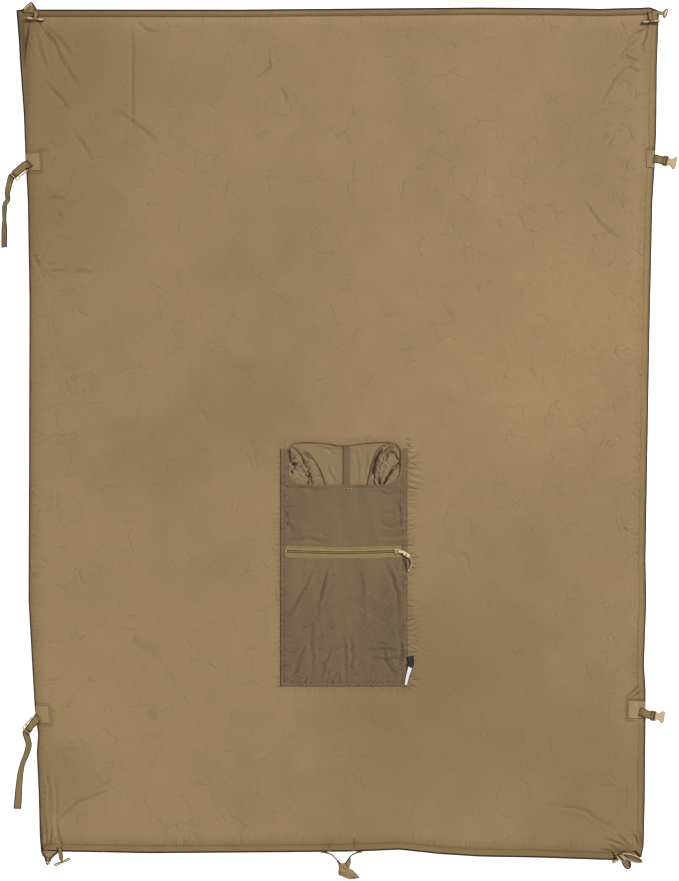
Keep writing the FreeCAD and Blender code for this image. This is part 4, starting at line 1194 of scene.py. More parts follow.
# deep gaps between the layers of each gather: a chain of points, width, depth and darkness of the
# painted shade in it
GATHER_GAPS = {
    "left": [
        ([(-107, -19), (-100, -29), (-91, -43), (-81, -61), (-72, -78), (-67, -92), (-66, -104)],
         5.0, 3.5, 1.0),
        ([(-95, -42), (-103, -52), (-110, -60), (-115, -66)], 5.2, 3.0, 1.0),
        ([(-101, -28), (-101, -38), (-107, -46)], 4.4, 2.0, 1.0),
        ([(-113, -56), (-112, -66), (-110, -74)], 4.2, 3.0, 1.0),
        ([(-73, -95), (-67, -103), (-64, -108)], 4.2, 3.0, 1.0),
        ([(-116, -20), (-114, -36), (-113, -56)], 2.6, 2.0, 0.95),
        ([(-88, -24), (-80, -32), (-70, -42)], 1.4, 1.0, 0.6),
        ([(-84, -22), (-76, -30), (-66, -44)], 1.2, 1.0, 0.45),
        ([(-80, -50), (-72, -62), (-62, -70)], 1.2, 0.8, 0.25),
        ([(-104, -66), (-96, -72), (-90, -84)], 1.2, 0.8, 0.25),
    ],
    "right": [
        ([(112, -12), (96, -24), (86, -40), (80, -60), (76, -84), (78, -106)], 4.2, 2.4, 0.95),
        ([(76, -78), (76, -94), (78, -107)], 3.4, 3.0, 1.0),
        ([(100, -103), (109, -88), (118, -72), (126, -62), (136, -52)], 2.8, 3.2, 1.0),
        ([(108, -46), (111, -32), (118, -26), (127, -30), (134, -44)], 2.4, 2.0, 0.8),
        ([(92, -84), (92, -96), (93, -106)], 2.6, 2.6, 1.0),
        ([(122, -12), (108, -20), (98, -32)], 1.8, 1.2, 0.7),
        ([(128, -16), (118, -20), (104, -34), (98, -52)], 1.4, 1.0, 0.5),
        ([(96, -52), (90, -70), (86, -92)], 1.6, 1.0, 0.5),
        ([(106, -60), (100, -76), (96, -92)], 1.4, 0.8, 0.35),
        ([(128, -8), (138, -18), (141, -32)], 1.6, 1.0, 0.6),
        ([(72, -100), (84, -106), (100, -107)], 2.0, 1.5, 0.9),
    ],
}
# the free edge of each gather, which lies on the hood's back panel
GATHER_EDGE = {
    "left": [(-108, -10), (-92, -17), (-68, -32), (-52, -55), (-40, -80), (-33, -103), (-32, -112)],
    "right": [(122, -3), (100, -10), (84, -26), (75, -50), (68, -80), (64, -100), (62, -112)],
}


def make_gathers():
    """The hood's gathered sides: crumpled cloth in layers, with deep gaps between them that are
    dark with painted shade.
    """
    for side, outwards in (("left", -1), ("right", 1)):
        wall = NECK[0][0] + 1 if side == "left" else NECK[0][1] - 1
        reach = np.linspace(wall, wall - outwards * 94, 118)
        x, y = np.meshgrid(np.sort(reach), np.linspace(-114, -6, 128))
        shade = np.zeros(x.shape)
        z = 6.2 + 0.7 * lumps(x, y, 20, 95) + 0.35 * lumps(x, y, 7, 96)
        scatter_folds(x, y, z, 46, (x.min(), x.max(), -112, -10), 34, 1.7, 0.9, 97)
        for gap in GATHER_GAPS[side]:
            add_gap(x, y, z, shade, *gap)
        inside, _ = beside(x, y, smoothed(GATHER_EDGE[side], 3))
        inside = inside * outwards
        under = fade(-inside, -1.5, 2.2)
        z = z * (1 - under) + 2.2 * under
        softly = {"left": fade(-y, 12, 34), "right": 0.7}[side]
        # painted shade along the free edge, where it lies over the hood's back panel
        lip = np.exp(-(((inside + 1.4) / 3.8) ** 2))
        shade = np.maximum(shade, softly * lip)
        shade = np.maximum(shade, 0.5 * in_hollows(z, 0.7))
        low = neck_edge(np.clip(x, NECK[0][0] + 1, NECK[0][1] - 1)) - 1.5
        y = np.minimum(y, low)
        middle = (inside[:-1, :-1] + inside[1:, 1:]) / 2
        gather = make_cloth(f"hood_gather_folds_{side}", [(x, y, np.clip(z, 1.6, FACE_TOP - 0.8),
                            middle > -3.5)], "lining_cloth", 0.3, marks={"shade": shade})
        placed(gather, "blanket", "shell_cloth", f"hood_gather_{side}")


# ---------------------------------------------------------------- pouch


PANEL_TOP = UPPER_POUCH[2][1]
SEAM = 10


def pouch_height(x, y, creases, seed):
    """The pouch cloth: held down at its seams, with soft fullness and creases between them."""
    left, right = POUCH[0]
    rim = np.minimum(np.minimum(x - left, right - x), y - POUCH[1][0])
    z = PANEL_TOP + 0.5 * fade(rim, 2, 45) * lumps(x, y * 0.6, 60, seed)
    z -= 0.7 * np.exp(-(rim / 1.6) ** 2)
    z -= 0.35 * np.exp(-(((rim - SEAM) / 1.3) ** 2))
    for crease in creases:
        add_fold(x, y, z, crease, 5.0, 0.95)
    edge_lines = np.zeros(z.shape)
    add_puckers(edge_lines, y, np.maximum(right - x, 0), 8, 17, 0.6, seed + 1)
    add_puckers(edge_lines, y, np.maximum(x - left, 0), 9, 12, 0.45, seed + 2)
    z += edge_lines * fade(y, POUCH[1][0], POUCH[1][0] + 20)
    return z


def pouch_marks(grids):
    """Shade at the pouch's sewn edges and in its creases, and fine puckers beside them."""
    left, right = POUCH[0]
    marks = {"shade": [], "tone": [], "gather_x": [], "gather_y": []}
    for x, y, z in grids:
        side = np.minimum(x - left, right - x)
        foot = y - POUCH[1][0]
        ragged = 0.5 + 0.4 * lumps(x, y, 7, 37)
        shade = ragged * np.exp(-((side / 1.7) ** 2)) + 0.45 * in_hollows(z, 0.6)
        # painted shadow in the gap on the pouch beside the pull's cord
        by_cord, _ = beside(x, y, [(149, -274), (152, -284), (156, -300)])
        shade = np.maximum(shade, np.exp(-((by_cord / 3.2) ** 2)))
        marks["shade"].append(np.clip(shade, 0, 1))
        uneven = 0.55 + 0.7 * lumps(x, y, 30, 34)
        across = np.exp(-((side / 22) ** 2))
        lower_half = 0.3 * fade(-y, 350, 470)
        marks["gather_x"].append(np.clip((across + lower_half * 0.6) * uneven, 0, 1))
        marks["gather_y"].append(np.clip((np.exp(-((foot / 30) ** 2)) + lower_half) * uneven, 0, 1))
        tone = 0.5 * lumps(x, y * 0.5, 60, 35) - 0.25 * fade(-y, 260, 560) + 0.1
        tone += 0.45 * lumps(x + 0.12 * y, y * 0.16, 15, 36)
        for path in LIGHT_FOLDS:
            signed, _ = beside(x, y, path)
            tone += 1.6 * np.exp(-((signed / 1.8) ** 2))
        marks["tone"].append(np.clip(tone, -1, 1))
    return {name: np.concatenate([part.ravel() for part in parts])
            for name, parts in marks.items()}


# crests of folds that catch the light
LIGHT_FOLDS = [
    [(65, -350), (88, -362), (110, -377)],
    [(47, -388), (76, -406), (102, -422)],
    [(-16, -282), (-36, -338), (-60, -400)],
]
UPPER_CREASES = [
    [(-128, -104), (-80, -110), (-30, -113)],
    [(30, -112), (90, -108), (146, -112)],
    [(60, -116), (110, -121), (150, -118)],
    [(-124, -150), (-122, -185), (-104, -215)],
    [(-122, -232), (-70, -226), (-20, -236)],
    [(146, -150), (126, -165), (96, -170)],
    [(150, -190), (118, -196), (90, -190)],
    [(152, -215), (120, -222), (86, -218)],
    [(130, -130), (140, -170), (138, -210)],
]
LOWER_CREASES = [
    [(-17, -278), (-38, -336), (-62, -406)],
    [(-54, -288), (-83, -348), (-124, -410)],
    [(-30, -300), (-44, -360), (-52, -420)],
    [(49, -300), (54, -340), (53, -375)],
    [(106, -280), (122, -320), (131, -350)],
    [(118, -300), (134, -350), (140, -420)],
    [(-62, -414), (-64, -480), (-60, -540)],
    [(8, -450), (16, -500), (12, -560)],
    [(24, -440), (30, -490), (24, -540)],
    [(-90, -500), (-100, -530), (-112, -550)],
    [(-76, -470), (-88, -490), (-98, -510)],
    [(-100, -380), (-110, -400), (-122, -412)],
    [(60, -480), (90, -482), (136, -480)],
    [(70, -500), (110, -505), (146, -500)],
    [(96, -470), (110, -510), (134, -545)],
    [(-20, -480), (-36, -520), (-40, -556)],
    [(140, -440), (143, -490), (138, -530)],
]


def make_upper_panel():
    """The upper panel with its scooped neckline, between two straps that run up beside it."""
    left, right = POUCH[0]
    low, top = UPPER_POUCH[1]
    neck_left, neck_right = NECK[0]
    radius, neckline = 38, -102
    low -= 0.5

    def neckline_at(x):
        near = np.maximum(radius - np.minimum(x - neck_left, neck_right - x), 0)
        return neckline + radius - np.sqrt(np.maximum(radius**2 - near**2, 0))

    turns = 0.15 + np.linspace(0, 1, 14) ** 2 * (radius - 0.15)
    scoop = np.concatenate([neck_left + turns, np.linspace(neck_left + radius,
                            neck_right - radius, 80)[1:-1], neck_right - turns[::-1]])
    columns = np.concatenate([np.linspace(left, neck_left, 8), scoop,
                              np.linspace(neck_right, right, 8)])
    over_neck = (columns > neck_left) & (columns < neck_right)
    crest = np.where(over_neck, neckline_at(np.clip(columns, neck_left, neck_right)), top)
    x, up = np.meshgrid(columns, np.linspace(0, 1, 84))
    y = low + zip_sag(x) + up * (crest - low - zip_sag(x))
    z = pouch_height(x, y, UPPER_CREASES, 110)
    scatter_folds(x, y, z, 40, (left, right, low, neckline), 50, 2.6, 0.3, 111)
    z += 0.5 * np.exp(-(((crest - y) / 2.2) ** 2)) * over_neck
    panel = make_cloth("pouch_cloth_upper", [(x, y, z)], "pouch_cloth", 0.6,
                       marks=pouch_marks([(x, y, z)]))
    placed(panel, "blanket", "pouch_cloth", "pouch_upper_panel")
    line = [(x, y, PANEL_TOP + 0.15) for x, y in zip(scoop[4:-4], neckline_at(scoop[4:-4]) - 3)]
    placed(stitched("neckline_stitches", line, "thread_light", 2.4, 1.2, 0.22),
           "blanket", "thread")
    row = [(x, -131, PANEL_TOP + 0.1) for x in np.linspace(-12, 34, 20)]
    placed(stitched("neckline_tack_row", row, "thread_light", 2.4, 1.6, 0.18),
           "blanket", "thread")


def make_lower_panel():
    """The lower panel, with an ear at each end of the zip."""
    left, right = POUCH[0]
    low, _ = POUCH[1]
    zip_left, zip_right = span("pouch_zip_tape_upper")[0]
    ear_top, zip_foot = UPPER_POUCH[1][0] - 0.5, span("pouch_zip_tape_lower")[1][0]
    plan = [
        (np.linspace(left, right, 118), np.linspace(low, zip_foot, 120)),
        (np.linspace(left, zip_left, 6), np.linspace(zip_foot, ear_top, 14)),
        (np.linspace(zip_right, right, 7), np.linspace(zip_foot, ear_top, 14)),
    ]
    grids = []
    for columns, rows in plan:
        x, y = np.meshgrid(columns, rows)
        y = y + zip_sag(x) * fade(y, zip_foot - 40, zip_foot)
        z = pouch_height(x, y, LOWER_CREASES, 120)
        scatter_folds(x, y, z, 110, (left, right, low, -420), 38, 2.3, 0.5, 121)
        scatter_folds(x, y, z, 46, (left, right, -420, zip_foot), 60, 2.6, 0.38, 122)
        foot = np.zeros(x.shape)
        add_puckers(foot, x, np.maximum(y - low, 0), 9, 16, 0.6, 123)
        z += foot * (np.abs(x - 10) < 140)
        grids.append((x, y, z))
    panel = make_cloth("pouch_cloth_lower", grids, "pouch_cloth", 0.6, marks=pouch_marks(grids))
    placed(panel, "blanket", "pouch_cloth", "pouch_lower_panel")
    line = [(x, low + 3.5, PANEL_TOP + 0.1) for x in np.linspace(left + 4, right - 4, 60)]
    placed(stitched("pouch_foot_stitches", line, "thread_light"), "blanket", "thread")
    for name, x in (("left", left + SEAM), ("right", right - SEAM)):
        runs = [(x, y, PANEL_TOP - 0.1) for y in np.linspace(low + 4, -110, 90)]
        placed(stitched(f"pouch_stitches_{name}", runs, "pouch_thread", radius=0.2), "blanket",
               "thread")


# ---------------------------------------------------------------- zip, pull and label


def zip_sag(x):
    """The zip hangs a little lower in its middle."""
    start, end = span("pouch_zip_tape_upper")[0]
    share = (x - start) / (end - start)
    return -3.4 * np.sin(math.pi * np.clip(share, 0, 1)) ** 1.3


def make_zip():
    """Two woven tapes and a coil of nylon loops between them; the stops at its ends are kept from
    the CAD.
    """
    for name, outwards in (("upper", 1), ("lower", -1)):
        (start, end), (low, high), _ = span(f"pouch_zip_tape_{name}")
        x, y = np.meshgrid(np.linspace(start, end, 130), np.linspace(low, high, 22))
        near_coil = (y - low if outwards > 0 else high - y)
        z = PANEL_TOP + 0.25 + 0.25 * np.exp(-((near_coil - 1.5) / 1.2) ** 2)
        z = z + 0.25 * lumps(x, y * 0.2, 22, 130) - 0.3 * np.exp(-((near_coil - 8) / 0.8) ** 2)
        rim = np.minimum(high - y, y - low)
        shade = 0.6 * np.exp(-((near_coil / 1.2) ** 2)) + 0.45 * np.exp(-((rim / 1.1) ** 2))
        for row, dark in ((4.6, 0.4), (8, 0.5)):
            uneven = 0.8 + 0.5 * lumps(x, y, 26, 131 + int(row))
            shade += dark * np.exp(-(((near_coil - row) / 0.8) ** 2)) * uneven
        tape = make_cloth(f"zip_tape_{name}", [(x, y + zip_sag(x), z)], "zip_tape", 0.6,
                          marks={"shade": np.clip(shade, 0, 1)})
        placed(tape, "blanket", "zip_tape", f"pouch_zip_tape_{name}")
        for row, reach in enumerate((2.2, 8.2)):
            at = (low + reach) if outwards > 0 else (high - reach)
            xs = np.linspace(start + 2, end - 3, 80)
            line = np.stack([xs, at + zip_sag(xs), np.full(80, PANEL_TOP + 0.3)], 1)
            seam = stitched(f"zip_stitches_{name}_{row + 1}", line, stitch=2.2, gap=0.9)
            placed(seam, "blanket", "thread")
    (start, end), (low, high), (_, top) = span("pouch_zip_coil")
    middle = (low + high) / 2
    turns = np.arange(0, (end - start) / 1.7, 1 / 8)
    x = start + turns * 1.7
    y = middle + zip_sag(x) + 1.5 * np.cos(turns * math.tau)
    z = top - 0.75 + 0.45 * np.sin(turns * math.tau)
    coil = swept("zip_coil_loops", np.stack([x, y, z], 1), round_section(0.42, 5), "zip_coil")
    placed(coil, "blanket", "zip_coil", "pouch_zip_coil")
    xs = np.linspace(start, end, 90)
    core = swept("zip_coil_core", np.stack([xs, middle + zip_sag(xs),
                 np.full(90, top - 0.95)], 1), rounded_band(3.0, 0.7), "zip_coil")
    placed(core, "blanket", "zip_coil")


def make_pull():
    """The cord on the pull and its knot, with moulded and metal parts kept from the CAD."""
    # the route of the cord in the CAD, in metres
    route = [(0.1605, -0.2660, 0.0118), (0.1660, -0.2755, 0.0118),
             (0.1660, -0.2865, 0.0118), (0.1605, -0.2960, 0.0118)]
    curve = bpy.data.curves.new("pull_cord", "CURVE")
    curve.dimensions = "3D"
    spline = curve.splines.new("NURBS")
    spline.points.add(len(route) - 1)
    for point, place in zip(spline.points, route):
        point.co = (*place, 1)
    spline.order_u = 3
    spline.use_endpoint_u = True
    curve.resolution_u = 12
    curve.bevel_depth = 0.0015
    curve.bevel_resolution = 4
    # the cord's core is painted dark as shade, where it shows between the light strands
    curve.materials.append(PAINTS["cord_shade"])
    cord = bpy.data.objects.new("pull_cord", curve)
    bpy.context.scene.collection.objects.link(cord)
    placed(cord, "pull", "cord", "zip_pull_cord")
    line = bpy.data.meshes.new_from_object(bare_copy(cord))
    points = np.array([vertex.co for vertex in line.vertices]) / MM
    run = distances(points)
    picks = np.linspace(0, run[-1], 120)
    centre = np.stack([np.interp(picks, run, points[:, axis]) for axis in range(3)], 1)
    tangent = np.gradient(centre, axis=0)
    tangent /= np.linalg.norm(tangent, axis=1)[:, None]
    across = np.cross([0, 0, 1], tangent)
    for strand in range(3):
        turn = picks / 6.4 * math.tau + strand * math.tau / 3
        ring = across * np.cos(turn)[:, None] + np.array([0, 0, 1]) * np.sin(turn)[:, None]
        braid = swept(f"cord_strand_{strand + 1}", centre + ring * 1.25, round_section(0.6, 6),
                      "cord")
        placed(braid, "pull", "cord")
    (x0, x1), (y0, y1), (z0, z1) = span("zip_pull_knot")
    middle = np.array([(x0 + x1) / 2, (y0 + y1) / 2, (z0 + z1) / 2])
    turns = np.linspace(0, math.tau, 48, endpoint=False)
    way = np.array([-0.5, -0.866, 0.0])
    aside = np.array([0.866, -0.5, 0.0])
    knot_line = [middle + way * 1.5 * math.sin(2 * t) + aside * 1.15 * math.cos(3 * t)
                 + np.array([0, 0, 1.15 * math.sin(3 * t)]) for t in turns]
    knot = swept("pull_knot", knot_line, round_section(0.95, 8), "cord", closed=True)
    placed(knot, "pull", "cord", "zip_pull_knot")


def bare_copy(cord):
    """The cord's curve without its thickness, as an object that only gives its line."""
    line = cord.copy()
    line.data = cord.data.copy()
    line.data.bevel_depth = 0
    return line


def make_label():
    """A blank folded label standing out of the pouch's right seam, bent over its length."""
    path = smoothed([(152.5, -563, 10.2), (156, -545, 10.6), (161.5, -526, 10.9),
                     (164.5, -510, 10.8), (162, -496, 10.6)], 1.5)
    run = distances(path)
    fold = 0.62 * run[-1]
    halves = {"light": (0, fold, 12, 0.55), "dark": (fold, run[-1], 15, 0.9)}
    for shade, (start, end, widths, narrowest) in halves.items():
        part = path[(run >= start - 1) & (run <= end + 1)]
        half = swept(f"label_{shade}_fold", part, rounded_band(widths, 0.9), f"label_{shade}",
                     scale=np.linspace(narrowest, 1, len(part)))
        placed(half, "blanket", f"label_{shade}", f"label_{shade}")


# ---------------------------------------------------------------- webbing and buckles


class Frame:
    """A level frame on the object: an origin and a heading in degrees."""

    def __init__(self, x, y, heading):
        self.x, self.y = x, y
        self.turn = math.radians(heading)

    def point(self, along, height, aside=0.0):
        """A place given along the heading, at a height, and to the left of the heading."""
        x = self.x + along * math.cos(self.turn) - aside * math.sin(self.turn)
        y = self.y + along * math.sin(self.turn) + aside * math.cos(self.turn)
        return (x, y, height)

    def side(self):
        """The direction to the left of the heading."""
        return (-math.sin(self.turn), math.cos(self.turn), 0.0)


FEMALE_FRAMES = {"upper": Frame(748.5, 644.5, -12.7), "lower": Frame(720.5, -633.5, -9.5)}
MALE_FRAMES = {"upper": Frame(-750, 607, 220.3), "lower": Frame(-722, -668, 230.7)}
WEBBING = 19
STRAP_THICKNESS = 1.4


def make_webbing_loop(level):
    """Webbing doubled round the female half's bar, with both ends sewn to the patch."""
    place = FEMALE_FRAMES[level]
    bar = 4.3
    ring = 3.0
    start, aside = {"upper": (-24, 0), "lower": (-30, 5)}[level]
    lower = [(start, 5.3), (-22, 5.3), (-16, 5.1), (-9, 3.7), (-4, 3.5)]
    round_bar = [(1.8 * ring * math.sin(t), bar - ring * math.cos(t)) for t in np.radians(
        [-20, 15, 50, 90, 130, 165, 200])]
    upper = [(-4, 5.1), (-9, 5.2), (-16, 6.6), (-22, 6.8), (start, 6.8)]
    path = []
    for along, height in lower + round_bar + upper:
        path.append(place.point(along, height, aside * float(fade(-along, 4, 30))))
    path = smoothed(path, 1.2)
    # painted shade on the webbing inside the buckle's slot, past the bar
    beyond = [(x - place.x) * math.cos(place.turn) + (y - place.y) * math.sin(place.turn)
              for x, y, _ in path]
    loop = swept(f"webbing_{level}", path, rounded_band(WEBBING, STRAP_THICKNESS), "webbing",
                 side=place.side(), dark=fade(np.array(beyond), 1.8, 3.6), rim=0.6)
    placed(loop, "blanket", "webbing", f"webbing_loop_right_{level}")
    box = [(start + 2, -7), (start + 7, -7), (start + 7, 7), (start + 2, 7), (start + 2, -7)]
    line = [place.point(a, 7.65, b + aside * 0.9) for a, b in along_outline(box, 10)]
    placed(stitched(f"webbing_stitches_{level}", line, stitch=2.2, gap=0.8), "blanket", "thread")


# where each strap's free tail lies
TAILS = {
    "upper": [(-761, 591), (-764.5, 568), (-763.5, 554), (-770.5, 541),
              (-771.5, 500), (-771.5, 444)],
    "lower": [(-719, -688), (-716, -703), (-722, -725), (-731, -748),
              (-737, -783), (-742, -849)],
}


# how far each tail leans on its edge, in degrees, by distance past its buckle
TILT_STATIONS = [-4, 26, 60, 86, 106, 160]
TILTS = {"upper": [0, 46, 45, 54, 38, 36], "lower": [0, 13, 8, -4, -10, -3]}


def make_strap(level):
    """A strap from its patch over the male half, round the end bar, with a free tail."""
    place = MALE_FRAMES[level]
    root = {"upper": [(-50, 9.2), (-44, 8.9), (-37, 8.8)],
            "lower": [(-45, 5.3), (-40, 5.5), (-35, 8.2)]}[level]
    start = root[0][0]
    over = root + [(-30, 8.9), (-18, 8.9), (-8, 8.9), (-5, 7.6), (-3, 4.6), (1, 3.7), (5, 3.2)]
    aside, root_aside = {"upper": (-3.8, 0), "lower": (2.6, 1.3)}[level]
    points = [place.point(along, height, aside if along > start + 8 else root_aside)
              for along, height in over]
    lift = 0.95 + WEBBING / 2 * math.sin(math.radians(TILTS[level][1]))
    points += [(x, y, 1.4 if count == 0 else lift) for count, (x, y) in enumerate(TAILS[level])]
    path = smoothed(points, 2.0)
    run = distances(path)
    tail_start = run[np.argmin(np.linalg.norm(path - np.array(points[len(over)]), axis=1))]
    roll = np.interp(run - tail_start, TILT_STATIONS, TILTS[level])
    past_buckle, widths = {
        "upper": ([-48, -30, -12, 0, 25, 60, 110, 160], [1, 0.96, 0.8, 0.76, 1, 1, 0.97, 1]),
        "lower": ([-48, -40, 0, 25, 62, 90, 130, 180], [0.95, 0.84, 0.8, 0.78, 0.66, 0.76, 0.9, 1]),
    }[level]
    scale = np.interp(run - tail_start, past_buckle, widths)
    # painted shade where the strap folds out from under its patch, and at the end of its tail
    dark = np.maximum(0.55 * (1 - fade(run, 3, 11)), 0.9 * fade(run, run[-1] - 2.6, run[-1] - 1.2))
    strap = swept(f"strap_{level}", path, rounded_band(WEBBING, STRAP_THICKNESS), "webbing",
                  roll=roll, scale=scale, dark=dark)
    placed(strap, "blanket", "webbing", f"strap_left_{level}")


# ---------------------------------------------------------------- toggles and loops


# a toggle tape's heading in degrees, its length, and how far its root is shifted to the left
TAPES = {"top_left": (-96, 16, 0), "top_right": (-84.5, 22, 0), "bottom_left": (-67, 30, 8),
         "bottom_right": (-55, 16, 0)}
TAPE_WIDTH = 10
WAIST = 2.2


def make_toggle_tape(corner):
    """A tape from the hem, doubled round its toggle's waist."""
    heading, length, shift = TAPES[corner]
    x, y, z = [(low + high) / 2 for low, high in span(f"toggle_{corner}")]
    root_z = HEM_TOP + 1.2
    reach = math.sqrt(length**2 - (z - root_z) ** 2)
    place = Frame(x, y, heading)
    ring = WAIST + 0.3 + 0.6
    slope = (z - root_z) / length
    tilt = math.asin(slope)
    points = [place.point(-reach - 0.5, root_z - 0.3, shift * 0.9)]
    turns = np.radians(np.linspace(-150, 150, 13))
    for turn in turns:
        along, up = ring * math.cos(turn), ring * math.sin(turn)
        points.append(place.point(along * math.cos(tilt) - up * math.sin(tilt),
                                  z + along * math.sin(tilt) + up * math.cos(tilt)))
    points += [place.point(-reach - 0.5, root_z + 0.9, shift * 0.9)]
    path = smoothed(points, 1.0)
    away = np.hypot(path[:, 0] - x, path[:, 1] - y)
    tape = swept(f"toggle_band_{corner}", path, rounded_band(TAPE_WIDTH, 0.9), "webbing",
                 side=place.side(), scale=0.5 + 0.5 * fade(away, 3, 8))
    body = "blanket" if corner == "bottom_right" else f"tape_{corner}"
    placed(tape, body, "webbing", f"toggle_tape_{corner}")
    sewn = [place.point(-reach - 5, root_z - 0.2, shift),
            place.point(-reach - 1, root_z + 0.2, shift * 0.9)]
    root = swept(f"toggle_root_{corner}", sewn, rounded_band(TAPE_WIDTH, 1.8), "webbing")
    placed(root, "blanket", "webbing")


# the legs of each folded corner loop, from the hem to its tip, and the cloth between them
CORNER_LOOPS = {
    "top_left": {"left": [(-731, 988), (-725, 995), (-713, 1006)],
                 "right": [(-697, 984), (-701, 994), (-709, 1006)],
                 "strand": [(-727, 993), (-719, 1000), (-711.5, 1005.5), (-708, 1001)],
                 "paint": "hem_cloth", "slant": 50},
    "bottom_left": {"left": [(-685, -945), (-682, -953), (-677, -960), (-673, -974)],
                    "right": [(-650, -946), (-657, -953.5), (-665, -961), (-671, -974)],
                    "strand": [(-667, -970), (-672, -973.5), (-674.5, -969)],
                    "paint": "patch_cloth", "slant": 20},
}


def make_folded_loops():
    """The left-hand loops that the toggles button into: flat cord, and cloth between its legs."""
    for corner, legs in CORNER_LOOPS.items():
        _, _, (low, high) = span(f"corner_loop_{corner}")
        level = (low + high) / 2
        points = legs["left"] + legs["right"][::-1]
        path = smoothed([(x, y, level - 0.2) for x, y in points], 1.5)
        # the flat cord is painted dark: painted shade that shows as a dark outline round the loop
        loop = swept(f"folded_loop_{corner}", path, rounded_band(7.0, 1.5), "cord_shade")
        placed(loop, "blanket", "webbing", f"corner_loop_{corner}")
        web = web_between(f"loop_gusset_{corner}", legs["left"], legs["right"], level + 0.7,
                          legs["paint"], bulge=0.8, bands=0.4, slant=legs["slant"])
        placed(web, "blanket", "webbing")
        strand = smoothed([(x, y, level + 1.7) for x, y in legs["strand"]], 1.2)
        rib = swept(f"loop_rib_{corner}", strand, round_section(1.5, 8), "cord")
        placed(rib, "blanket", "webbing")


def make_eye():
    """The top right loop: a small cord eye with a filled middle, on a flat stem."""
    _, _, (low, high) = span("corner_loop_top_right")
    level = (low + high) / 2
    turn = math.radians(75)
    eye = []
    for share in np.linspace(0, 1, 60, endpoint=False):
        angle = share * math.tau
        along = 12 + 10.6 * math.cos(angle)
        aside = 4.0 * math.sin(angle) * (1 - 0.25 * math.cos(angle + 2.6))
        eye.append((748 + along * math.cos(turn) - aside * math.sin(turn),
                    972.5 + along * math.sin(turn) + aside * math.cos(turn), level))
    # the eye's ring is painted dark as a shaded outline round its light middle
    ring = swept("cord_eye_top_right", eye, round_section(1.2, 10), "cord_shade", closed=True)
    placed(ring, "blanket", "moulded_tan", "corner_loop_top_right")
    middle = np.mean(eye, axis=0)
    shares = np.sqrt(np.linspace(0, 1, 8))[:, None]
    rim = np.array(eye + eye[:1])
    pad = [middle[axis] + shares * (rim[:, axis] - middle[axis])[None, :] for axis in (0, 1)]
    fill = make_cloth("cord_eye_fill", [(*pad, level + 1.1 * (1 - shares**2) + 0 * pad[0])],
                      "toggle_tan", 0.8)
    placed(fill, "blanket", "moulded_tan")
    neck = smoothed([(720, 986, level), (735, 985.5, level + 0.5), (748.5, 983.5, level)], 2)
    stem = swept("cord_stem_top_right", neck, rounded_band(8.5, 2.2), "patch_cloth")
    placed(stem, "blanket", "moulded_tan")


# the bow's lobes: heading in degrees, length, width, and what its rim and its web are made of; the
# small lobe's dark rim is painted shade
BOW_LOBES = {"large": (-21, 51, 17, "cord", "pouch_cloth"),
             "small": (-63, 38, 20, "cord_shade", "webbing")}
BOW_KNOT = (650, -952)


def make_bow():
    """The tied loop at the bottom right: two flat lobes, and two turns of cord over the knot."""
    level = span("corner_loop_bottom_right")[2][1] - 0.9
    for name, (heading, length, width, rim, web) in BOW_LOBES.items():
        place = Frame(*BOW_KNOT, heading)
        line = []
        for angle in np.linspace(0, math.tau, 70, endpoint=False):
            along = length / 2 * (1 - 0.97 * math.cos(angle))
            aside = (width / 2 - 1.4) * math.sin(angle) * (0.8 + 0.35 * along / length)
            line.append(place.point(along, level - 3.4 * (along / length) ** 2, aside))
        lobe = swept(f"bow_lobe_{name}", line, round_section(1.35, 10), rim, closed=True)
        placed(lobe, "blanket", "moulded_tan",
               *(["corner_loop_bottom_right"] if name == "large" else []))
        along, share = np.meshgrid(np.linspace(4, length - 2, 24), np.linspace(-1, 1, 14))
        half = (width / 2 - 1.6) * np.sin(np.pi * np.clip(along / length, 0, 1)) ** 0.5
        x, y, _ = place.point(along, 0, share * half)
        z = level - 1.2 - 3.4 * (along / length) ** 2 - 1.0 * (1 - share**2)
        shade = 0.9 * fade(np.abs(share), 0.72, 0.95)
        cloth = make_cloth(f"bow_web_{name}", [(x, y, z)], web, 0.4, marks={"shade": shade})
        placed(cloth, "blanket", "pouch_cloth")
    turns = [[(637, -955, 5), (641, -960, level + 1), (648, -967, level + 0.6), (653, -971, 4)],
             [(644, -952, 5), (648, -956, level + 2.2), (655, -963, level + 1.6),
              (660, -967, 4.5)]]
    for place, points in enumerate(turns):
        turn = swept(f"bow_turn_{place + 1}", smoothed(points, 1.2), round_section(1.5, 10),
                     "cord")
        placed(turn, "blanket", "webbing")
    knot = swept("bow_wrap", smoothed([(638, -962, 4.5), (645, -957, level - 0.6),
                 (653, -953, level - 0.4), (660, -951, 5)], 1.2), rounded_band(13, 2.6),
                 "pouch_cloth")
    placed(knot, "blanket", "webbing")


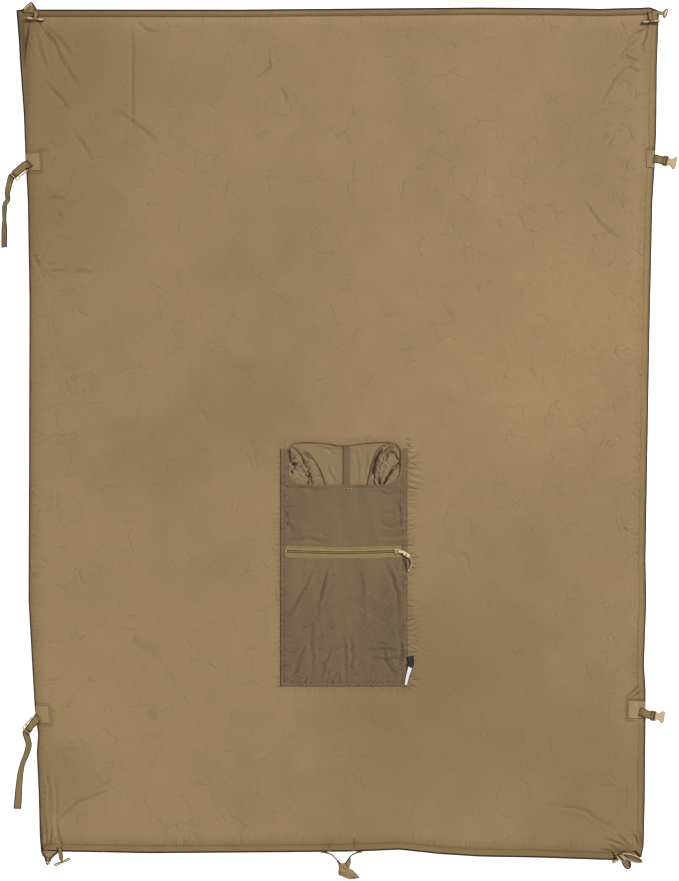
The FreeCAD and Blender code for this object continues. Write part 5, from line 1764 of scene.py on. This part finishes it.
def make_hang_loop():
    """The hanging loop: two edge-on legs from the hem, and the webbing folded between them."""
    legs = {
        "left": [(-44, -947.5), (-29, -950.5), (-17, -955), (-8, -964), (2, -974)],
        "right": [(52, -947.5), (42, -949.5), (30, -954.5), (23, -961), (14, -974)],
    }
    for name, points in legs.items():
        path = smoothed([(x, y, 2.4) for x, y in points], 1.5)
        # painted shade on the edge-on legs, darkest towards their tips
        leg = swept(f"hang_loop_{name}", path, rounded_band(4.4, 1.4), "webbing",
                    scale=np.linspace(1.0, 0.6, len(path)),
                    dark=np.linspace(0.4, 1, len(path)))
        placed(leg, "blanket", "webbing", *(["hang_loop"] if name == "left" else []))
    left = [(-7.3, -966), (-2, -981), (-2.3, -1000), (8, -1005.5), (24, -1012)]
    right = [(3, -975.5), (14, -974), (22, -984), (35.5, -994), (48, -1008.5)]
    flap = web_between("hang_loop_fold", left, right, 1.2, "patch_cloth", 0.8, bands=0.5, slant=-38)
    placed(flap, "blanket", "webbing")
    tongue = web_between("hang_loop_tongue", [(23.5, -959), (14, -973.5), (20, -984)],
                         [(26, -962), (26.5, -974), (23, -984)], 1.9, "patch_cloth", 0.6)
    placed(tongue, "blanket", "webbing")


def make_bar_tacks():
    """Dense zigzag stitches: at the neckline, over the zip and at both ends of the hang loop."""
    deck = PANEL_TOP + 0.35
    places = [("neckline", 19, -111, deck, 18), ("zip", 12, -239, deck, 12),
              ("hang_left", -24, -946, HEM_TOP + 0.3, 9),
              ("hang_right", 34, -946, HEM_TOP + 0.3, 9)]
    first = True
    for name, x, y, z, length in places:
        count = int(length / 0.45)
        line = [(x - length / 2 + length * step / count, y + (0.9 if step % 2 else -0.9), z)
                for step in range(count + 1)]
        tack = swept(f"bar_tack_{name}", line, round_section(0.42, 5), "tack_thread")
        placed(tack, "blanket", "thread", *(["bar_tacks"] if first else []))
        first = False


def make_edge_coil():
    """The coil of the edge zip along the right hem, between its patches."""
    stops = [-930, PATCHES["right_lower"][0], PATCHES["right_upper"][0], 960]
    gap = PATCH / 2 + 1
    for place, (low, high) in enumerate(zip(stops, stops[1:])):
        low += gap if place else 0
        high -= gap if place < 2 else 0
        turns = np.arange(0, (high - low) / 3.2, 1 / 5)
        y = low + turns * 3.2
        x = edge("right", y) - 5.2 + 0.9 * np.cos(turns * math.tau)
        z = HEM_TOP + 0.85 + 0.35 * np.sin(turns * math.tau)
        coil = swept(f"edge_coil_{place + 1}", np.stack([x, y, z], 1), round_section(0.5, 5),
                     "edge_coil")
        placed(coil, "blanket", "zip_coil", *([] if place else ["edge_zip_coil"]))


# ---------------------------------------------------------------- parts kept from the CAD


def finish_hard_parts():
    """Materials, and softened edges with hardened normals, for the moulded and metal CAD parts."""
    finishes = {"zip_slider": ("slider_metal", 0.3), "zip_pull_tab": ("toggle_tan", 0.5),
                "pouch_zip_stops": ("slider_metal", 0.2)}
    for level in ("upper", "lower"):
        finishes[f"female_buckle_{level}"] = ("moulded_tan", 0.6)
        finishes[f"male_frame_{level}"] = ("toggle_tan", 0.4)
        for end in ("front", "rear"):
            finishes[f"male_prong_{level}_{end}"] = ("moulded_tan", 0.4)
    for corner in TAPES:
        finishes[f"toggle_{corner}"] = ("toggle_tan", 0.4)
    for name, (paint, softness) in finishes.items():
        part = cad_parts[name]
        part.data.materials.clear()
        part.data.materials.append(PAINTS[paint])
        bevel = part.modifiers.new("softened", "BEVEL")
        bevel.width = softness * MM
        bevel.segments = 2
        bevel.limit_method = "ANGLE"
        bevel.angle_limit = math.radians(40)
        bevel.harden_normals = True


# ---------------------------------------------------------------- the whole object


make_camera()
PAINTS = make_materials()
make_studio()
make_pull()
make_face()
make_filling()
make_back()
for side in SIDES:
    make_hem(side)
make_edge_coil()
for patch in PATCHES:
    make_patch(patch)
make_neck_binding()
make_hood()
make_gathers()
make_upper_panel()
make_lower_panel()
make_zip()
make_label()
for level in ("upper", "lower"):
    make_webbing_loop(level)
    make_strap(level)
for corner in TAPES:
    make_toggle_tape(corner)
make_folded_loops()
make_eye()
make_bow()
make_hang_loop()
make_bar_tacks()
finish_hard_parts()
